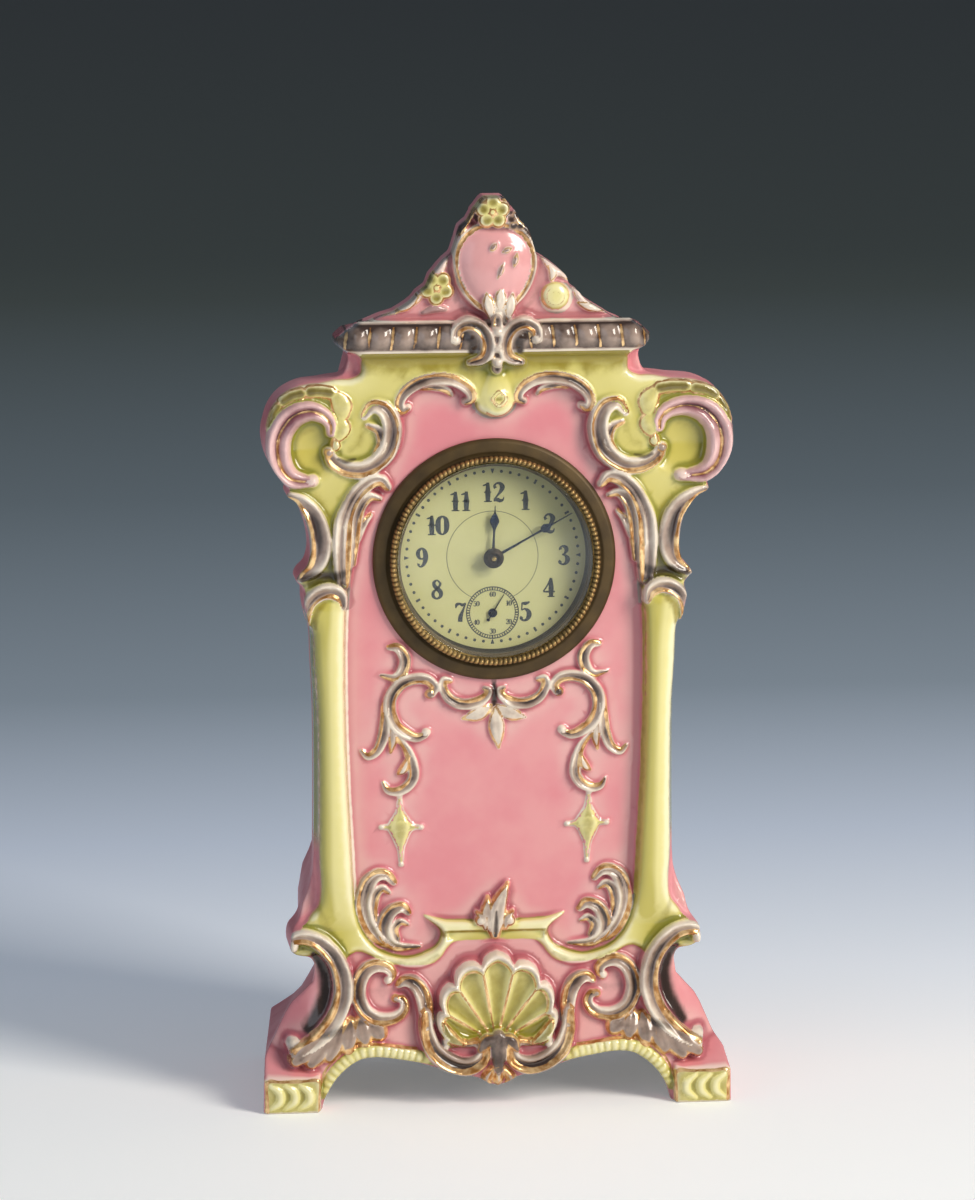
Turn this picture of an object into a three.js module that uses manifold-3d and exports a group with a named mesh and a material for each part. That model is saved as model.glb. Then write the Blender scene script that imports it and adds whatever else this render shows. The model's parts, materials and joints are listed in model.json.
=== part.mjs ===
// Glazed ceramic mantel clock with a small round back-wound balance movement.
// Millimetres, +Z up, the dial looks along -Y, the floor is z = 0.
import * as THREE from "three";
import { mergeVertices } from "three/addons/utils/BufferGeometryUtils.js";
import Module from "manifold-3d";

const wasm = await Module();
wasm.setup();

// Driving sizes of the case.
const DIAL_Z = 142.5;
const PANEL_Y = -22;
const FRAME_RISE = 2.5;
const CASE_FRONT_Y = -33;
const CASE_BACK_Y = 30.3;
const CASE_WALL = 5;
const PANEL_MARGIN = 6.4;
const COLUMN_WIDTH = 9.3;
const BASE_SPREAD = 23;
const NECK_INSET = 3.3;
const FOOT_HEIGHT = 8.8;
const PANEL_FLOOR_Z = 48;
const CORNICE_Z = 200;
const CORNICE_REACH = 6.3;
const CORNICE_RISE = 4.8;
const CORNICE_DROP = 5;
const PEDIMENT_HEIGHT = 32.2;
const EAR_THICKNESS = 14.5;

// Driving sizes of the movement.
const DIAL_SIGHT_RADIUS = 24.4;
const GLASS_LAP = 0.9;
const GLASS_THICKNESS = 1.6;
const ROPE_WIDTH = 1.9;
const ROPE_HEIGHT = 3;
const STRAP_CLEARANCE = 1.4;
const FLANGE_LAP = 1.8;
const FLANGE_THICKNESS = 1.3;
const SHEET = 0.6;
const DIAL_DEPTH = 3.7;
const PLATE_THICKNESS = 1.2;
const MOTION_SPACE = 3.8;
const PLATE_SPACING = 15;
const COVER_SPACE = 5.5;
const STRAP_WIDTH = 7;
const STRAP_THICKNESS = 0.8;
const STRAP_FOOT = 4.9;
const RING_THICKNESS = 1;
const RING_EDGE = 0.45;
const RING_LAP = 4.5;
const SCREW_HEAD = 1.1;
const SCREW_RADIUS = 1.3;
const PILLAR_RADIUS = 1.2;
const PILLAR_ANGLES = [30, 140, 215, 325];

// Fits.
const SEAT_GAP = 0.3;
const RUN_GAP = 0.08;
const LOOSE_GAP = 0.4;
const SINK = 1;

// Sides of the small and of the large round pieces.
const ROUND = 10;
const WIDE_ROUND = 36;

// Going train: teeth and modules.
const CENTRE_TEETH = 48;
const THIRD_TEETH = 45;
const FOURTH_TEETH = 48;
const ESCAPE_TEETH = 15;
const GREAT_TEETH = 56;
const LEAVES = 6;
const CENTRE_LEAVES = 8;
const CENTRE_MODULE = 0.4;
const THIRD_MODULE = 0.38;
const FOURTH_MODULE = 0.36;
const GREAT_MODULE = 0.4;
const WHEEL_THICKNESS = 0.8;
const GREAT_THICKNESS = 1.2;
const PINION_LENGTH = 2;
const ESCAPE_RADIUS = 5;
const ESCAPE_DEPTH = 1.4;
const BALANCE_RADIUS = 7.5;
const ARBOR_RADIUS = 0.45;
const PIVOT_RADIUS = 0.35;
const COLLET_RADIUS = 0.8;
const SECONDS_DROP = 14.4;
const CENTRE_LEVEL = 1;
const THIRD_LEVEL = 3.8;
const FOURTH_LEVEL = 6.6;
const GREAT_LEVEL = 6.2;
const ESCAPE_LEVEL = 9.2;
const BALANCE_LEVEL = 11.6;

// Winding.
const RATCHET_TEETH = 12;
const RATCHET_RADIUS = 4.6;
const RATCHET_THICKNESS = 0.9;
const SPRING_GAP = 0.7;
const MAINSPRING_RADIUS = 10;
const WINDING_RADIUS = 1.8;
const WING_REACH = 8.5;
const KNOB_LENGTH = 4.6;
const KNOB_RADIUS = 4.4;
const KNOB_GAP = 2;
const KEY_GAP = 1;
const KEY_INSET = 1.5;

// Motion work: 8 to 24, then 8 to 32, makes one turn in twelve.
const CANNON_TEETH = 8;
const MINUTE_TEETH = 24;
const HOUR_TEETH = 32;
const MINUTE_MODULE = 0.5;
const HOUR_MODULE = 0.4;
const HOUR_LEVEL = 2.7;

// Hands, as the dial shows ten past twelve.
const HOUR_ANGLE = 2.4;
const MINUTE_ANGLE = 61;
const SECONDS_ANGLE = 31.5;
const HOUR_LENGTH = 13;
const MINUTE_LENGTH = 23;
const SECONDS_LENGTH = 5.5;
const HAND_THICKNESS = 0.25;
const HAND_SPACING = 0.75;

// Colours of the bare pieces.
const PORCELAIN = 0xe6b3a8;
const BRONZE = 0x6a5430;
const BRASS = 0xc9a24f;
const STEEL = 0x9a9ea3;
const BLUED = 0x2b3040;
const CREAM = 0xe4e0b0;
const CLEAR = 0xdfe8e6;

// Levels along the dial axis, from the panel backwards or forwards.
const FLANGE_BACK = PANEL_Y - SEAT_GAP;
const FLANGE_FRONT = FLANGE_BACK - FLANGE_THICKNESS;
const GLASS_BACK = FLANGE_FRONT - SEAT_GAP;
const GLASS_FRONT = GLASS_BACK - GLASS_THICKNESS;
const ROPE_FRONT = GLASS_BACK - ROPE_HEIGHT;
const SIGHT_FRONT = FLANGE_BACK + SEAT_GAP;
const DIAL_FRONT = SIGHT_FRONT + DIAL_DEPTH + SEAT_GAP;
const DIAL_BACK = DIAL_FRONT + SHEET;
const FRONT_PLATE_Y = DIAL_BACK + MOTION_SPACE;
const TRAIN_Y = FRONT_PLATE_Y + PLATE_THICKNESS;
const BACK_PLATE_Y = TRAIN_Y + PLATE_SPACING;
const BACK_PLATE_END = BACK_PLATE_Y + PLATE_THICKNESS;
const DRUM_BACK = BACK_PLATE_END + COVER_SPACE;
const COVER_Y = DRUM_BACK + SEAT_GAP;
const COVER_END = COVER_Y + SHEET;
const RING_Y = CASE_BACK_Y + SEAT_GAP;
const RING_END = RING_Y + RING_THICKNESS;
const SCREW_TOP = RING_END + SEAT_GAP + SCREW_HEAD;

// Radii about the dial axis.
const GLASS_RADIUS = DIAL_SIGHT_RADIUS + GLASS_LAP;
const ROPE_INNER = GLASS_RADIUS + SEAT_GAP;
const ROPE_OUTER = ROPE_INNER + ROPE_WIDTH;
const SEAT_RADIUS = ROPE_INNER + 0.6;
const DRUM_INNER = SEAT_RADIUS + SEAT_GAP;
const DRUM_OUTER = DRUM_INNER + SHEET;
const STRAP_INNER = DRUM_OUTER + SEAT_GAP;
const STRAP_OUTER = STRAP_INNER + STRAP_THICKNESS;
const FRONT_HOLE = STRAP_OUTER + STRAP_CLEARANCE;
const FLANGE_RADIUS = FRONT_HOLE + FLANGE_LAP;
const REAR_HOLE = STRAP_OUTER + STRAP_FOOT;
const SCREW_PLACE = STRAP_OUTER + STRAP_FOOT / 2;
const RING_INNER = SCREW_PLACE - SCREW_RADIUS - RING_EDGE;
const RING_OUTER = REAR_HOLE + RING_LAP;

// Case widths follow from the flange, levels follow from the panel.
const HALF_PANEL = FLANGE_RADIUS + PANEL_MARGIN;
const HALF_COLUMN = HALF_PANEL + COLUMN_WIDTH;
const HALF_BASE = HALF_PANEL + BASE_SPREAD;
const HALF_NECK = HALF_PANEL - NECK_INSET;
const FRAME_Y = PANEL_Y - FRAME_RISE;
const CORNICE_TOP = CORNICE_Z + CORNICE_RISE;
const CORNICE_FOOT = CORNICE_Z - CORNICE_DROP;

// Places of the arbors, x and z from the dial centre.
const CENTRE = [0, 0];
const FOURTH = [0, -SECONDS_DROP];
const THIRD = meet(
  CENTRE, spacing(CENTRE_TEETH, LEAVES, CENTRE_MODULE),
  FOURTH, spacing(THIRD_TEETH, LEAVES, THIRD_MODULE));
const ESCAPE = polar(FOURTH, spacing(FOURTH_TEETH, LEAVES, FOURTH_MODULE), 160);
const PALLET = polar(ESCAPE, ESCAPE_RADIUS + 1.3, 125);
const BALANCE = polar(PALLET, BALANCE_RADIUS + 1.5, 110);
const GREAT = polar(CENTRE, spacing(GREAT_TEETH, CENTRE_LEAVES, GREAT_MODULE), 75);
const MINUTE = polar(CENTRE, spacing(CANNON_TEETH, MINUTE_TEETH, MINUTE_MODULE), 180);

// Levels of the wheels between the plates.
const CENTRE_WHEEL_Y = TRAIN_Y + CENTRE_LEVEL;
const THIRD_WHEEL_Y = TRAIN_Y + THIRD_LEVEL;
const FOURTH_WHEEL_Y = TRAIN_Y + FOURTH_LEVEL;
const GREAT_WHEEL_Y = TRAIN_Y + GREAT_LEVEL;
const ESCAPE_WHEEL_Y = TRAIN_Y + ESCAPE_LEVEL;
const BALANCE_Y = TRAIN_Y + BALANCE_LEVEL;
const RATCHET_Y = GREAT_WHEEL_Y + GREAT_THICKNESS + SEAT_GAP;
const SPRING_Y = RATCHET_Y + RATCHET_THICKNESS + SPRING_GAP;
const HOUR_HAND_Y = DIAL_FRONT - HAND_SPACING * 1.6;
const MINUTE_HAND_Y = HOUR_HAND_Y - HAND_SPACING;
const SECONDS_HAND_Y = DIAL_FRONT - HAND_SPACING * 0.6;
const HOUR_WHEEL_Y = FRONT_PLATE_Y - HOUR_LEVEL;
const MINUTE_WHEEL_Y = FRONT_PLATE_Y - SEAT_GAP - WHEEL_THICKNESS;
const KNOB_Y = COVER_END + KNOB_GAP;
const KEY_Y = KNOB_Y + KNOB_LENGTH + KEY_GAP;
const KEY_LENGTH = RING_END - KEY_Y - KEY_INSET;

// Radii of the nested pipes on the centre.
const CENTRE_RADIUS = 0.7;
const CANNON_PIPE = CENTRE_RADIUS + RUN_GAP + 0.4;
const HOUR_PIPE = CANNON_PIPE + RUN_GAP + 0.45;
const DIAL_HOLE = HOUR_PIPE + LOOSE_GAP;

function spacing(teeth, leaves, module) {
  return (teeth + leaves) * module / 2;
}

function polar(from, distance, degrees) {
  const a = degrees * Math.PI / 180;
  return [from[0] + distance * Math.cos(a), from[1] + distance * Math.sin(a)];
}

function bearing(from, to) {
  return Math.atan2(to[1] - from[1], to[0] - from[0]);
}

// The point at given distances from two others, on the right of them.
function meet(a, ra, b, rb) {
  const d = Math.hypot(b[0] - a[0], b[1] - a[1]);
  const along = (ra * ra - rb * rb + d * d) / (2 * d);
  const off = Math.sqrt(ra * ra - along * along);
  const ux = (b[0] - a[0]) / d;
  const uz = (b[1] - a[1]) / d;
  return [a[0] + along * ux - off * uz, a[1] + along * uz + off * ux];
}

// One closed body from a raw geometry: corners shared, empty triangles left out.
function closed(geometry) {
  const bare = new THREE.BufferGeometry();
  bare.setAttribute("position", geometry.getAttribute("position"));
  if (geometry.index) bare.setIndex(geometry.index);
  const joined = mergeVertices(bare, 1e-5);
  const old = joined.index.array;
  const kept = [];
  for (let i = 0; i < old.length; i += 3) {
    const [a, b, c] = [old[i], old[i + 1], old[i + 2]];
    if (a !== b && b !== c && c !== a) kept.push(a, b, c);
  }
  joined.setIndex(kept);
  return joined;
}

function solid(geometry) {
  const body = closed(geometry);
  const vertProperties = new Float32Array(body.getAttribute("position").array);
  const triVerts = new Uint32Array(body.index.array);
  return new wasm.Manifold(new wasm.Mesh({ numProp: 3, vertProperties, triVerts }));
}

function joined(bodies) {
  return bodies.reduce((sum, body) => sum.add(body));
}

function geometryOf(body) {
  const mesh = body.getMesh();
  const geometry = new THREE.BufferGeometry();
  geometry.setAttribute("position", new THREE.BufferAttribute(new Float32Array(mesh.vertProperties), 3));
  geometry.setIndex(new THREE.BufferAttribute(new Uint32Array(mesh.triVerts), 1));
  return geometry;
}

// A flat outline in x and z, thick along y.
function slab(shape, yFront, yBack, segments = 12, bevel = 0) {
  const geometry = new THREE.ExtrudeGeometry(shape, {
    depth: yBack - yFront - bevel,
    curveSegments: segments,
    bevelEnabled: bevel > 0,
    bevelThickness: bevel,
    bevelSize: bevel,
    bevelOffset: -bevel,
    bevelSegments: 2,
  });
  geometry.rotateX(Math.PI / 2);
  geometry.translate(0, yBack, 0);
  return geometry;
}

// A turned piece about an axis along y, from a profile of radius and y.
function turned(profile, place = CENTRE, segments = ROUND) {
  const points = profile.map(([r, y]) => new THREE.Vector2(r, y));
  const geometry = new THREE.LatheGeometry(points, segments);
  geometry.translate(place[0], 0, DIAL_Z + place[1]);
  return geometry;
}

function ring(inner, outer, yFront, yBack, place = CENTRE, segments = WIDE_ROUND) {
  const profile = [[inner, yFront], [outer, yFront], [outer, yBack], [inner, yBack], [inner, yFront]];
  return turned(profile, place, segments);
}

function disc(radius, yFront, yBack, place = CENTRE, segments = ROUND) {
  return turned([[0, yFront], [radius, yFront], [radius, yBack], [0, yBack]], place, segments);
}

function outline(points) {
  return new THREE.Shape(points.map(([x, z]) => new THREE.Vector2(x, z)));
}

// A left half outline, from the middle of the top round to the middle of the foot, and its mirror.
function mirroredOutline(left) {
  const right = left.filter(([x]) => x !== 0).map(([x, z]) => [-x, z]).reverse();
  return outline([...left, ...right]);
}

function offset(points, [x0, z0]) {
  return points.map(([x, z, ...rest]) => [x + x0, z + z0, ...rest]);
}

// A round hole whose corners stand where those of a turned shaft do.
function circleHole(shape, radius, place, segments = ROUND) {
  const points = Array.from({ length: segments }, (_, i) => {
    const [x, z] = about(place, radius, Math.PI / 2 + i * Math.PI * 2 / segments);
    return new THREE.Vector2(x, z);
  });
  shape.holes.push(new THREE.Path(points));
}

function about(place, radius, angle) {
  return [place[0] + radius * Math.cos(angle), DIAL_Z + place[1] + radius * Math.sin(angle)];
}

// Mirror image across the middle plane, with its faces still looking outwards.
function mirrored(geometry) {
  const copy = closed(geometry);
  copy.scale(-1, 1, 1);
  const index = copy.index.array;
  for (let i = 0; i < index.length; i += 3) {
    [index[i], index[i + 1]] = [index[i + 1], index[i]];
  }
  return copy;
}

function bothSides(geometries) {
  return geometries.flatMap((g) => [solid(g), solid(mirrored(g))]);
}

// Rings of equal length joined into a closed skin, first and last capped.
function skin(rings) {
  const n = rings[0].length;
  const position = rings.flat(2);
  const index = [];
  for (let i = 0; i + 1 < rings.length; i += 1) {
    for (let j = 0; j < n; j += 1) {
      const a = i * n + j;
      const b = i * n + (j + 1) % n;
      index.push(a, b, b + n, a, b + n, a + n);
    }
  }
  const top = (rings.length - 1) * n;
  for (let j = 1; j + 1 < n; j += 1) {
    index.push(0, j + 1, j);
    index.push(top, top + j, top + j + 1);
  }
  const geometry = new THREE.BufferGeometry();
  geometry.setAttribute("position", new THREE.Float32BufferAttribute(position, 3));
  geometry.setIndex(index);
  return geometry;
}

// A body standing on z, widest in front, with cut corners.
// Each level gives z, half width in front, half width behind, y in front, y behind and the corner.
function tower(levels) {
  const rings = levels.map(([z, front, back, yFront, yBack, corner]) => [
    [-front + corner, yFront, z], [front - corner, yFront, z],
    [front, yFront + corner, z], [back, yBack - corner, z],
    [back - corner, yBack, z], [-back + corner, yBack, z],
    [-back, yBack - corner, z], [-front, yFront + corner, z],
  ]);
  return skin(rings);
}

// A raised scroll: a rounded band along a curve on the front, each point with its half width.
function scroll(points, height, surface, steps = 6, sink = SINK) {
  const places = points.map(([x, z]) => new THREE.Vector3(x, 0, z));
  const curve = new THREE.CatmullRomCurve3(places, false, "centripetal");
  const rings = [];
  for (let i = 0; i <= steps; i += 1) {
    const t = i / steps;
    const p = curve.getPoint(t);
    const tangent = curve.getTangent(t);
    const at = t * (points.length - 1);
    const k = Math.min(Math.floor(at), points.length - 2);
    const half = points[k][2] + (points[k + 1][2] - points[k][2]) * (at - k);
    const y = surface(p.z);
    const nx = tangent.z;
    const nz = -tangent.x;
    rings.push([[-1, -sink], [-0.55, height], [0.55, height], [1, -sink]].map(
      ([s, h]) => [p.x + nx * half * s, y - h, p.z + nz * half * s]));
  }
  return skin(rings);
}

function knob(x, z, radius, y) {
  const geometry = new THREE.SphereGeometry(radius, 8, 5);
  geometry.translate(x, y, z);
  return geometry;
}

// Case: y of the front face at each height, and the outer and inner levels of the shell.
const SKIRT_Y = CASE_FRONT_Y + 3;
const FLARE = [
  [0, SKIRT_Y], [FOOT_HEIGHT + 2.4, SKIRT_Y], [25, SKIRT_Y + 3], [PANEL_FLOOR_Z - 8, FRAME_Y],
  [PANEL_FLOOR_Z + 12, PANEL_Y + 1],
];

function flareY(z) {
  if (z >= FLARE[FLARE.length - 1][0]) return FLARE[FLARE.length - 1][1];
  const i = Math.max(0, FLARE.findIndex(([level]) => level >= z) - 1);
  const [z0, y0] = FLARE[i];
  const [z1, y1] = FLARE[i + 1];
  return y0 + (y1 - y0) * Math.max(0, z - z0) / (z1 - z0);
}

const BACK_DRAFT = 6;
const OUTER_LEVELS = [
  [0, HALF_BASE - 0.3], [FOOT_HEIGHT, HALF_BASE - 0.3], [FOOT_HEIGHT + 2.4, HALF_BASE],
  [25, HALF_BASE], [30, HALF_BASE - 5.8], [35, HALF_BASE - 10.3],
  [PANEL_FLOOR_Z - 8, HALF_COLUMN + 0.2], [PANEL_FLOOR_Z + 2, HALF_COLUMN - 0.3],
  [PANEL_FLOOR_Z + 12, HALF_COLUMN - 1.3], [DIAL_Z + 12, HALF_COLUMN - 2],
  [DIAL_Z + 42, HALF_NECK + 5.5], [CORNICE_Z - 2, HALF_NECK + 2],
];
const outerTower = OUTER_LEVELS.map(
  ([z, half]) => [z, half, half - BACK_DRAFT, flareY(z), CASE_BACK_Y, 2]);
const innerTower = OUTER_LEVELS.map(([z, half], i) => {
  const level = i === 0 ? z - SINK : Math.min(z, CORNICE_Z - 2 - CASE_WALL);
  const inner = half - CASE_WALL;
  return [level, inner, inner - BACK_DRAFT, flareY(z) + CASE_WALL, CASE_BACK_Y - CASE_WALL, 1];
});

// Front frame: one outline from the neck down to the consoles.
const EAR_PLACE = [-(HALF_PANEL + 9.2), DIAL_Z + 29];
const BRACKET_PLACE = [-(HALF_PANEL + 4.6), DIAL_Z + 8];
const CONSOLE_PLACE = [-(HALF_BASE - 15), PANEL_FLOOR_Z - 18];
const frameOutline = mirroredOutline([
  [0, CORNICE_FOOT + 2], [-HALF_NECK, CORNICE_FOOT + 2],
  ...offset([[12.4, 18.5], [7, 18], [2, 17.8], [-3, 17.1], [-7.6, 14.9], [-10.9, 11.2], [-12.4, 7.1],
    [-13.2, 2], [-12, -2.5], [-10, -5], [-8, -7], [-6.2, -9.3], [-6.7, -11.5]], EAR_PLACE),
  ...offset([[-8.4, 7], [-6.3, 1.5], [-5.6, -4], [-6, -8.5], [-8.6, -11.5], [-7.2, -15], [-7, -18.5],
    [-5.9, -23.5], [-4.7, -26.5]], BRACKET_PLACE),
  [-HALF_COLUMN + 0.6, DIAL_Z - 45], [-HALF_COLUMN + 1.2, PANEL_FLOOR_Z + 14],
  ...offset([[0.3, 28.6], [-0.2, 23.2], [-4.5, 17.6], [-8.2, 14.5], [-7, 10.5], [-4.7, 9.5], [-1, 8]],
    CONSOLE_PLACE),
  [0, PANEL_FLOOR_Z - 12],
]);
const PANEL_LEFT = [
  [0, DIAL_Z + 37.5], [-4.5, DIAL_Z + 39], [-5.5, DIAL_Z + 44], [-11.5, DIAL_Z + 47], [-18, DIAL_Z + 45.5],
  [-24.5, DIAL_Z + 40],
  ...offset([[20.5, 2], [17.5, -3.5], [16.5, -8.5], [11, -11.5], [8.5, -17.5], [9, -26.5],
    [10, -34]], EAR_PLACE),
  [-HALF_PANEL, DIAL_Z - 42], [-HALF_PANEL + 1.2, PANEL_FLOOR_Z + 12],
  [-HALF_PANEL + 3.6, PANEL_FLOOR_Z - 2],
  [-HALF_PANEL + 10.4, PANEL_FLOOR_Z - 8.4], [-HALF_PANEL + 15, PANEL_FLOOR_Z - 9.3],
  [-15, PANEL_FLOOR_Z - 6], [-12.8, PANEL_FLOOR_Z - 2.5], [-18.5, PANEL_FLOOR_Z + 0.8],
  [-12, PANEL_FLOOR_Z],
  [0, PANEL_FLOOR_Z],
];
const corniceOutline = mirroredOutline(offset([
  [0, CORNICE_RISE], [-HALF_NECK, CORNICE_RISE], [-HALF_NECK - 3.5, CORNICE_RISE / 2],
  [-HALF_NECK - CORNICE_REACH, -0.6],
  [-HALF_NECK - CORNICE_REACH + 0.6, -2.6], [-HALF_NECK - 1.2, -3.9], [-HALF_NECK, -CORNICE_DROP],
  [0, -CORNICE_DROP],
], [0, CORNICE_Z]));
const pedimentOutline = mirroredOutline([
  [0, 0.907], [-4, 0.907], [-8, 0.814], [-10, 0.714], [-11.5, 0.596], [-13, 0.488], [-19, 0.379],
  [-21, 0.27],
  [-26.5, 0.106], [-31.5, 0.006], [-33, -0.03], [0, -0.03],
].map(([x, share]) => [x, CORNICE_TOP + share * PEDIMENT_HEIGHT]));
const ARCH_LEFT = [
  [0, 5.3], [-3.7, 7.5], [-10, 9], [-16, 10.6], [-20.5, 11.6], [-25.1, 12.5], [-29.6, 13.4], [-34.2, 13.4],
  [-37.8, 11.8], [-41.5, 8.6], [-44.2, 4.5], [-45.5, -SINK], [0, -SINK],
].map(([x, z]) => [x * HALF_BASE / 60.8, z]);

const caseBlock = joined([
  solid(tower(outerTower)),
  solid(slab(frameOutline, FRAME_Y, FRAME_Y + EAR_THICKNESS)),
  solid(slab(corniceOutline, FRAME_Y - 2.5, FRAME_Y + EAR_THICKNESS, 12, 1.2)),
  solid(slab(pedimentOutline, FRAME_Y + 2, FRAME_Y + EAR_THICKNESS)),
]);
const caseCuts = joined([
  solid(tower(innerTower)),
  solid(slab(mirroredOutline(PANEL_LEFT), PANEL_Y - 20, PANEL_Y)),
  solid(slab(mirroredOutline(ARCH_LEFT), CASE_FRONT_Y - SINK, CASE_BACK_Y + SINK)),
  solid(disc(FRONT_HOLE, PANEL_Y - SINK, PANEL_Y + CASE_WALL * 2, CENTRE, WIDE_ROUND)),
  solid(disc(REAR_HOLE, CASE_BACK_Y - CASE_WALL * 2, CASE_BACK_Y + SINK, CENTRE, WIDE_ROUND)),
]);

// Raised ornament of the left half; its mirror stands on the right.
const onPanel = () => PANEL_Y;
const onFrame = () => FRAME_Y;
const onFlare = (z) => Math.min(flareY(z), FRAME_Y + 0.5);
const onConsole = (z) => Math.min(flareY(z), FRAME_Y - 4);
const onCornice = () => FRAME_Y - 2.5;
const PANEL_PLACE = [-(HALF_PANEL - 12.8), DIAL_Z - FLANGE_RADIUS - 11.1];
const SWAG_PLACE = [0, DIAL_Z - FLANGE_RADIUS - 7];
const STAR_PLACE = [-(HALF_PANEL - 13.4), PANEL_FLOOR_Z + 25.2];
const CORNER_PLACE = [-(HALF_PANEL - 7.8), PANEL_FLOOR_Z + 2];
const LOOP_PLACE = [-(HALF_PANEL - 7.8), PANEL_FLOOR_Z - 18];
const SHELL_PLACE = [0, PANEL_FLOOR_Z - 31.2];
const columnShaft = new THREE.CylinderGeometry(4.1, 4.1, DIAL_Z - PANEL_FLOOR_Z - 20, 12);
columnShaft.rotateX(Math.PI / 2);
columnShaft.translate(-(HALF_COLUMN - 4.6), FRAME_Y + 1.5, (DIAL_Z + PANEL_FLOOR_Z) / 2);
const starOutline = outline(offset([
  [-0.5, 7.3], [-1.6, 2], [-4.8, -1.4], [-1.4, -2.2], [0.7, -10.5], [1.6, -2.2], [5.9, -0.5], [1.8, 1.8],
], STAR_PLACE));
const FOOT_WIDTH = 14.6;
const footBlock = skin([HALF_BASE - 0.3 - FOOT_WIDTH, HALF_BASE - 0.3].map((x) => [
  [-x, SKIRT_Y + SINK, 0], [-x, CASE_FRONT_Y, 0], [-x, CASE_FRONT_Y, FOOT_HEIGHT],
  [-x, SKIRT_Y, FOOT_HEIGHT + 2.4], [-x, SKIRT_Y + SINK, FOOT_HEIGHT + 2.4],
]));
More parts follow.
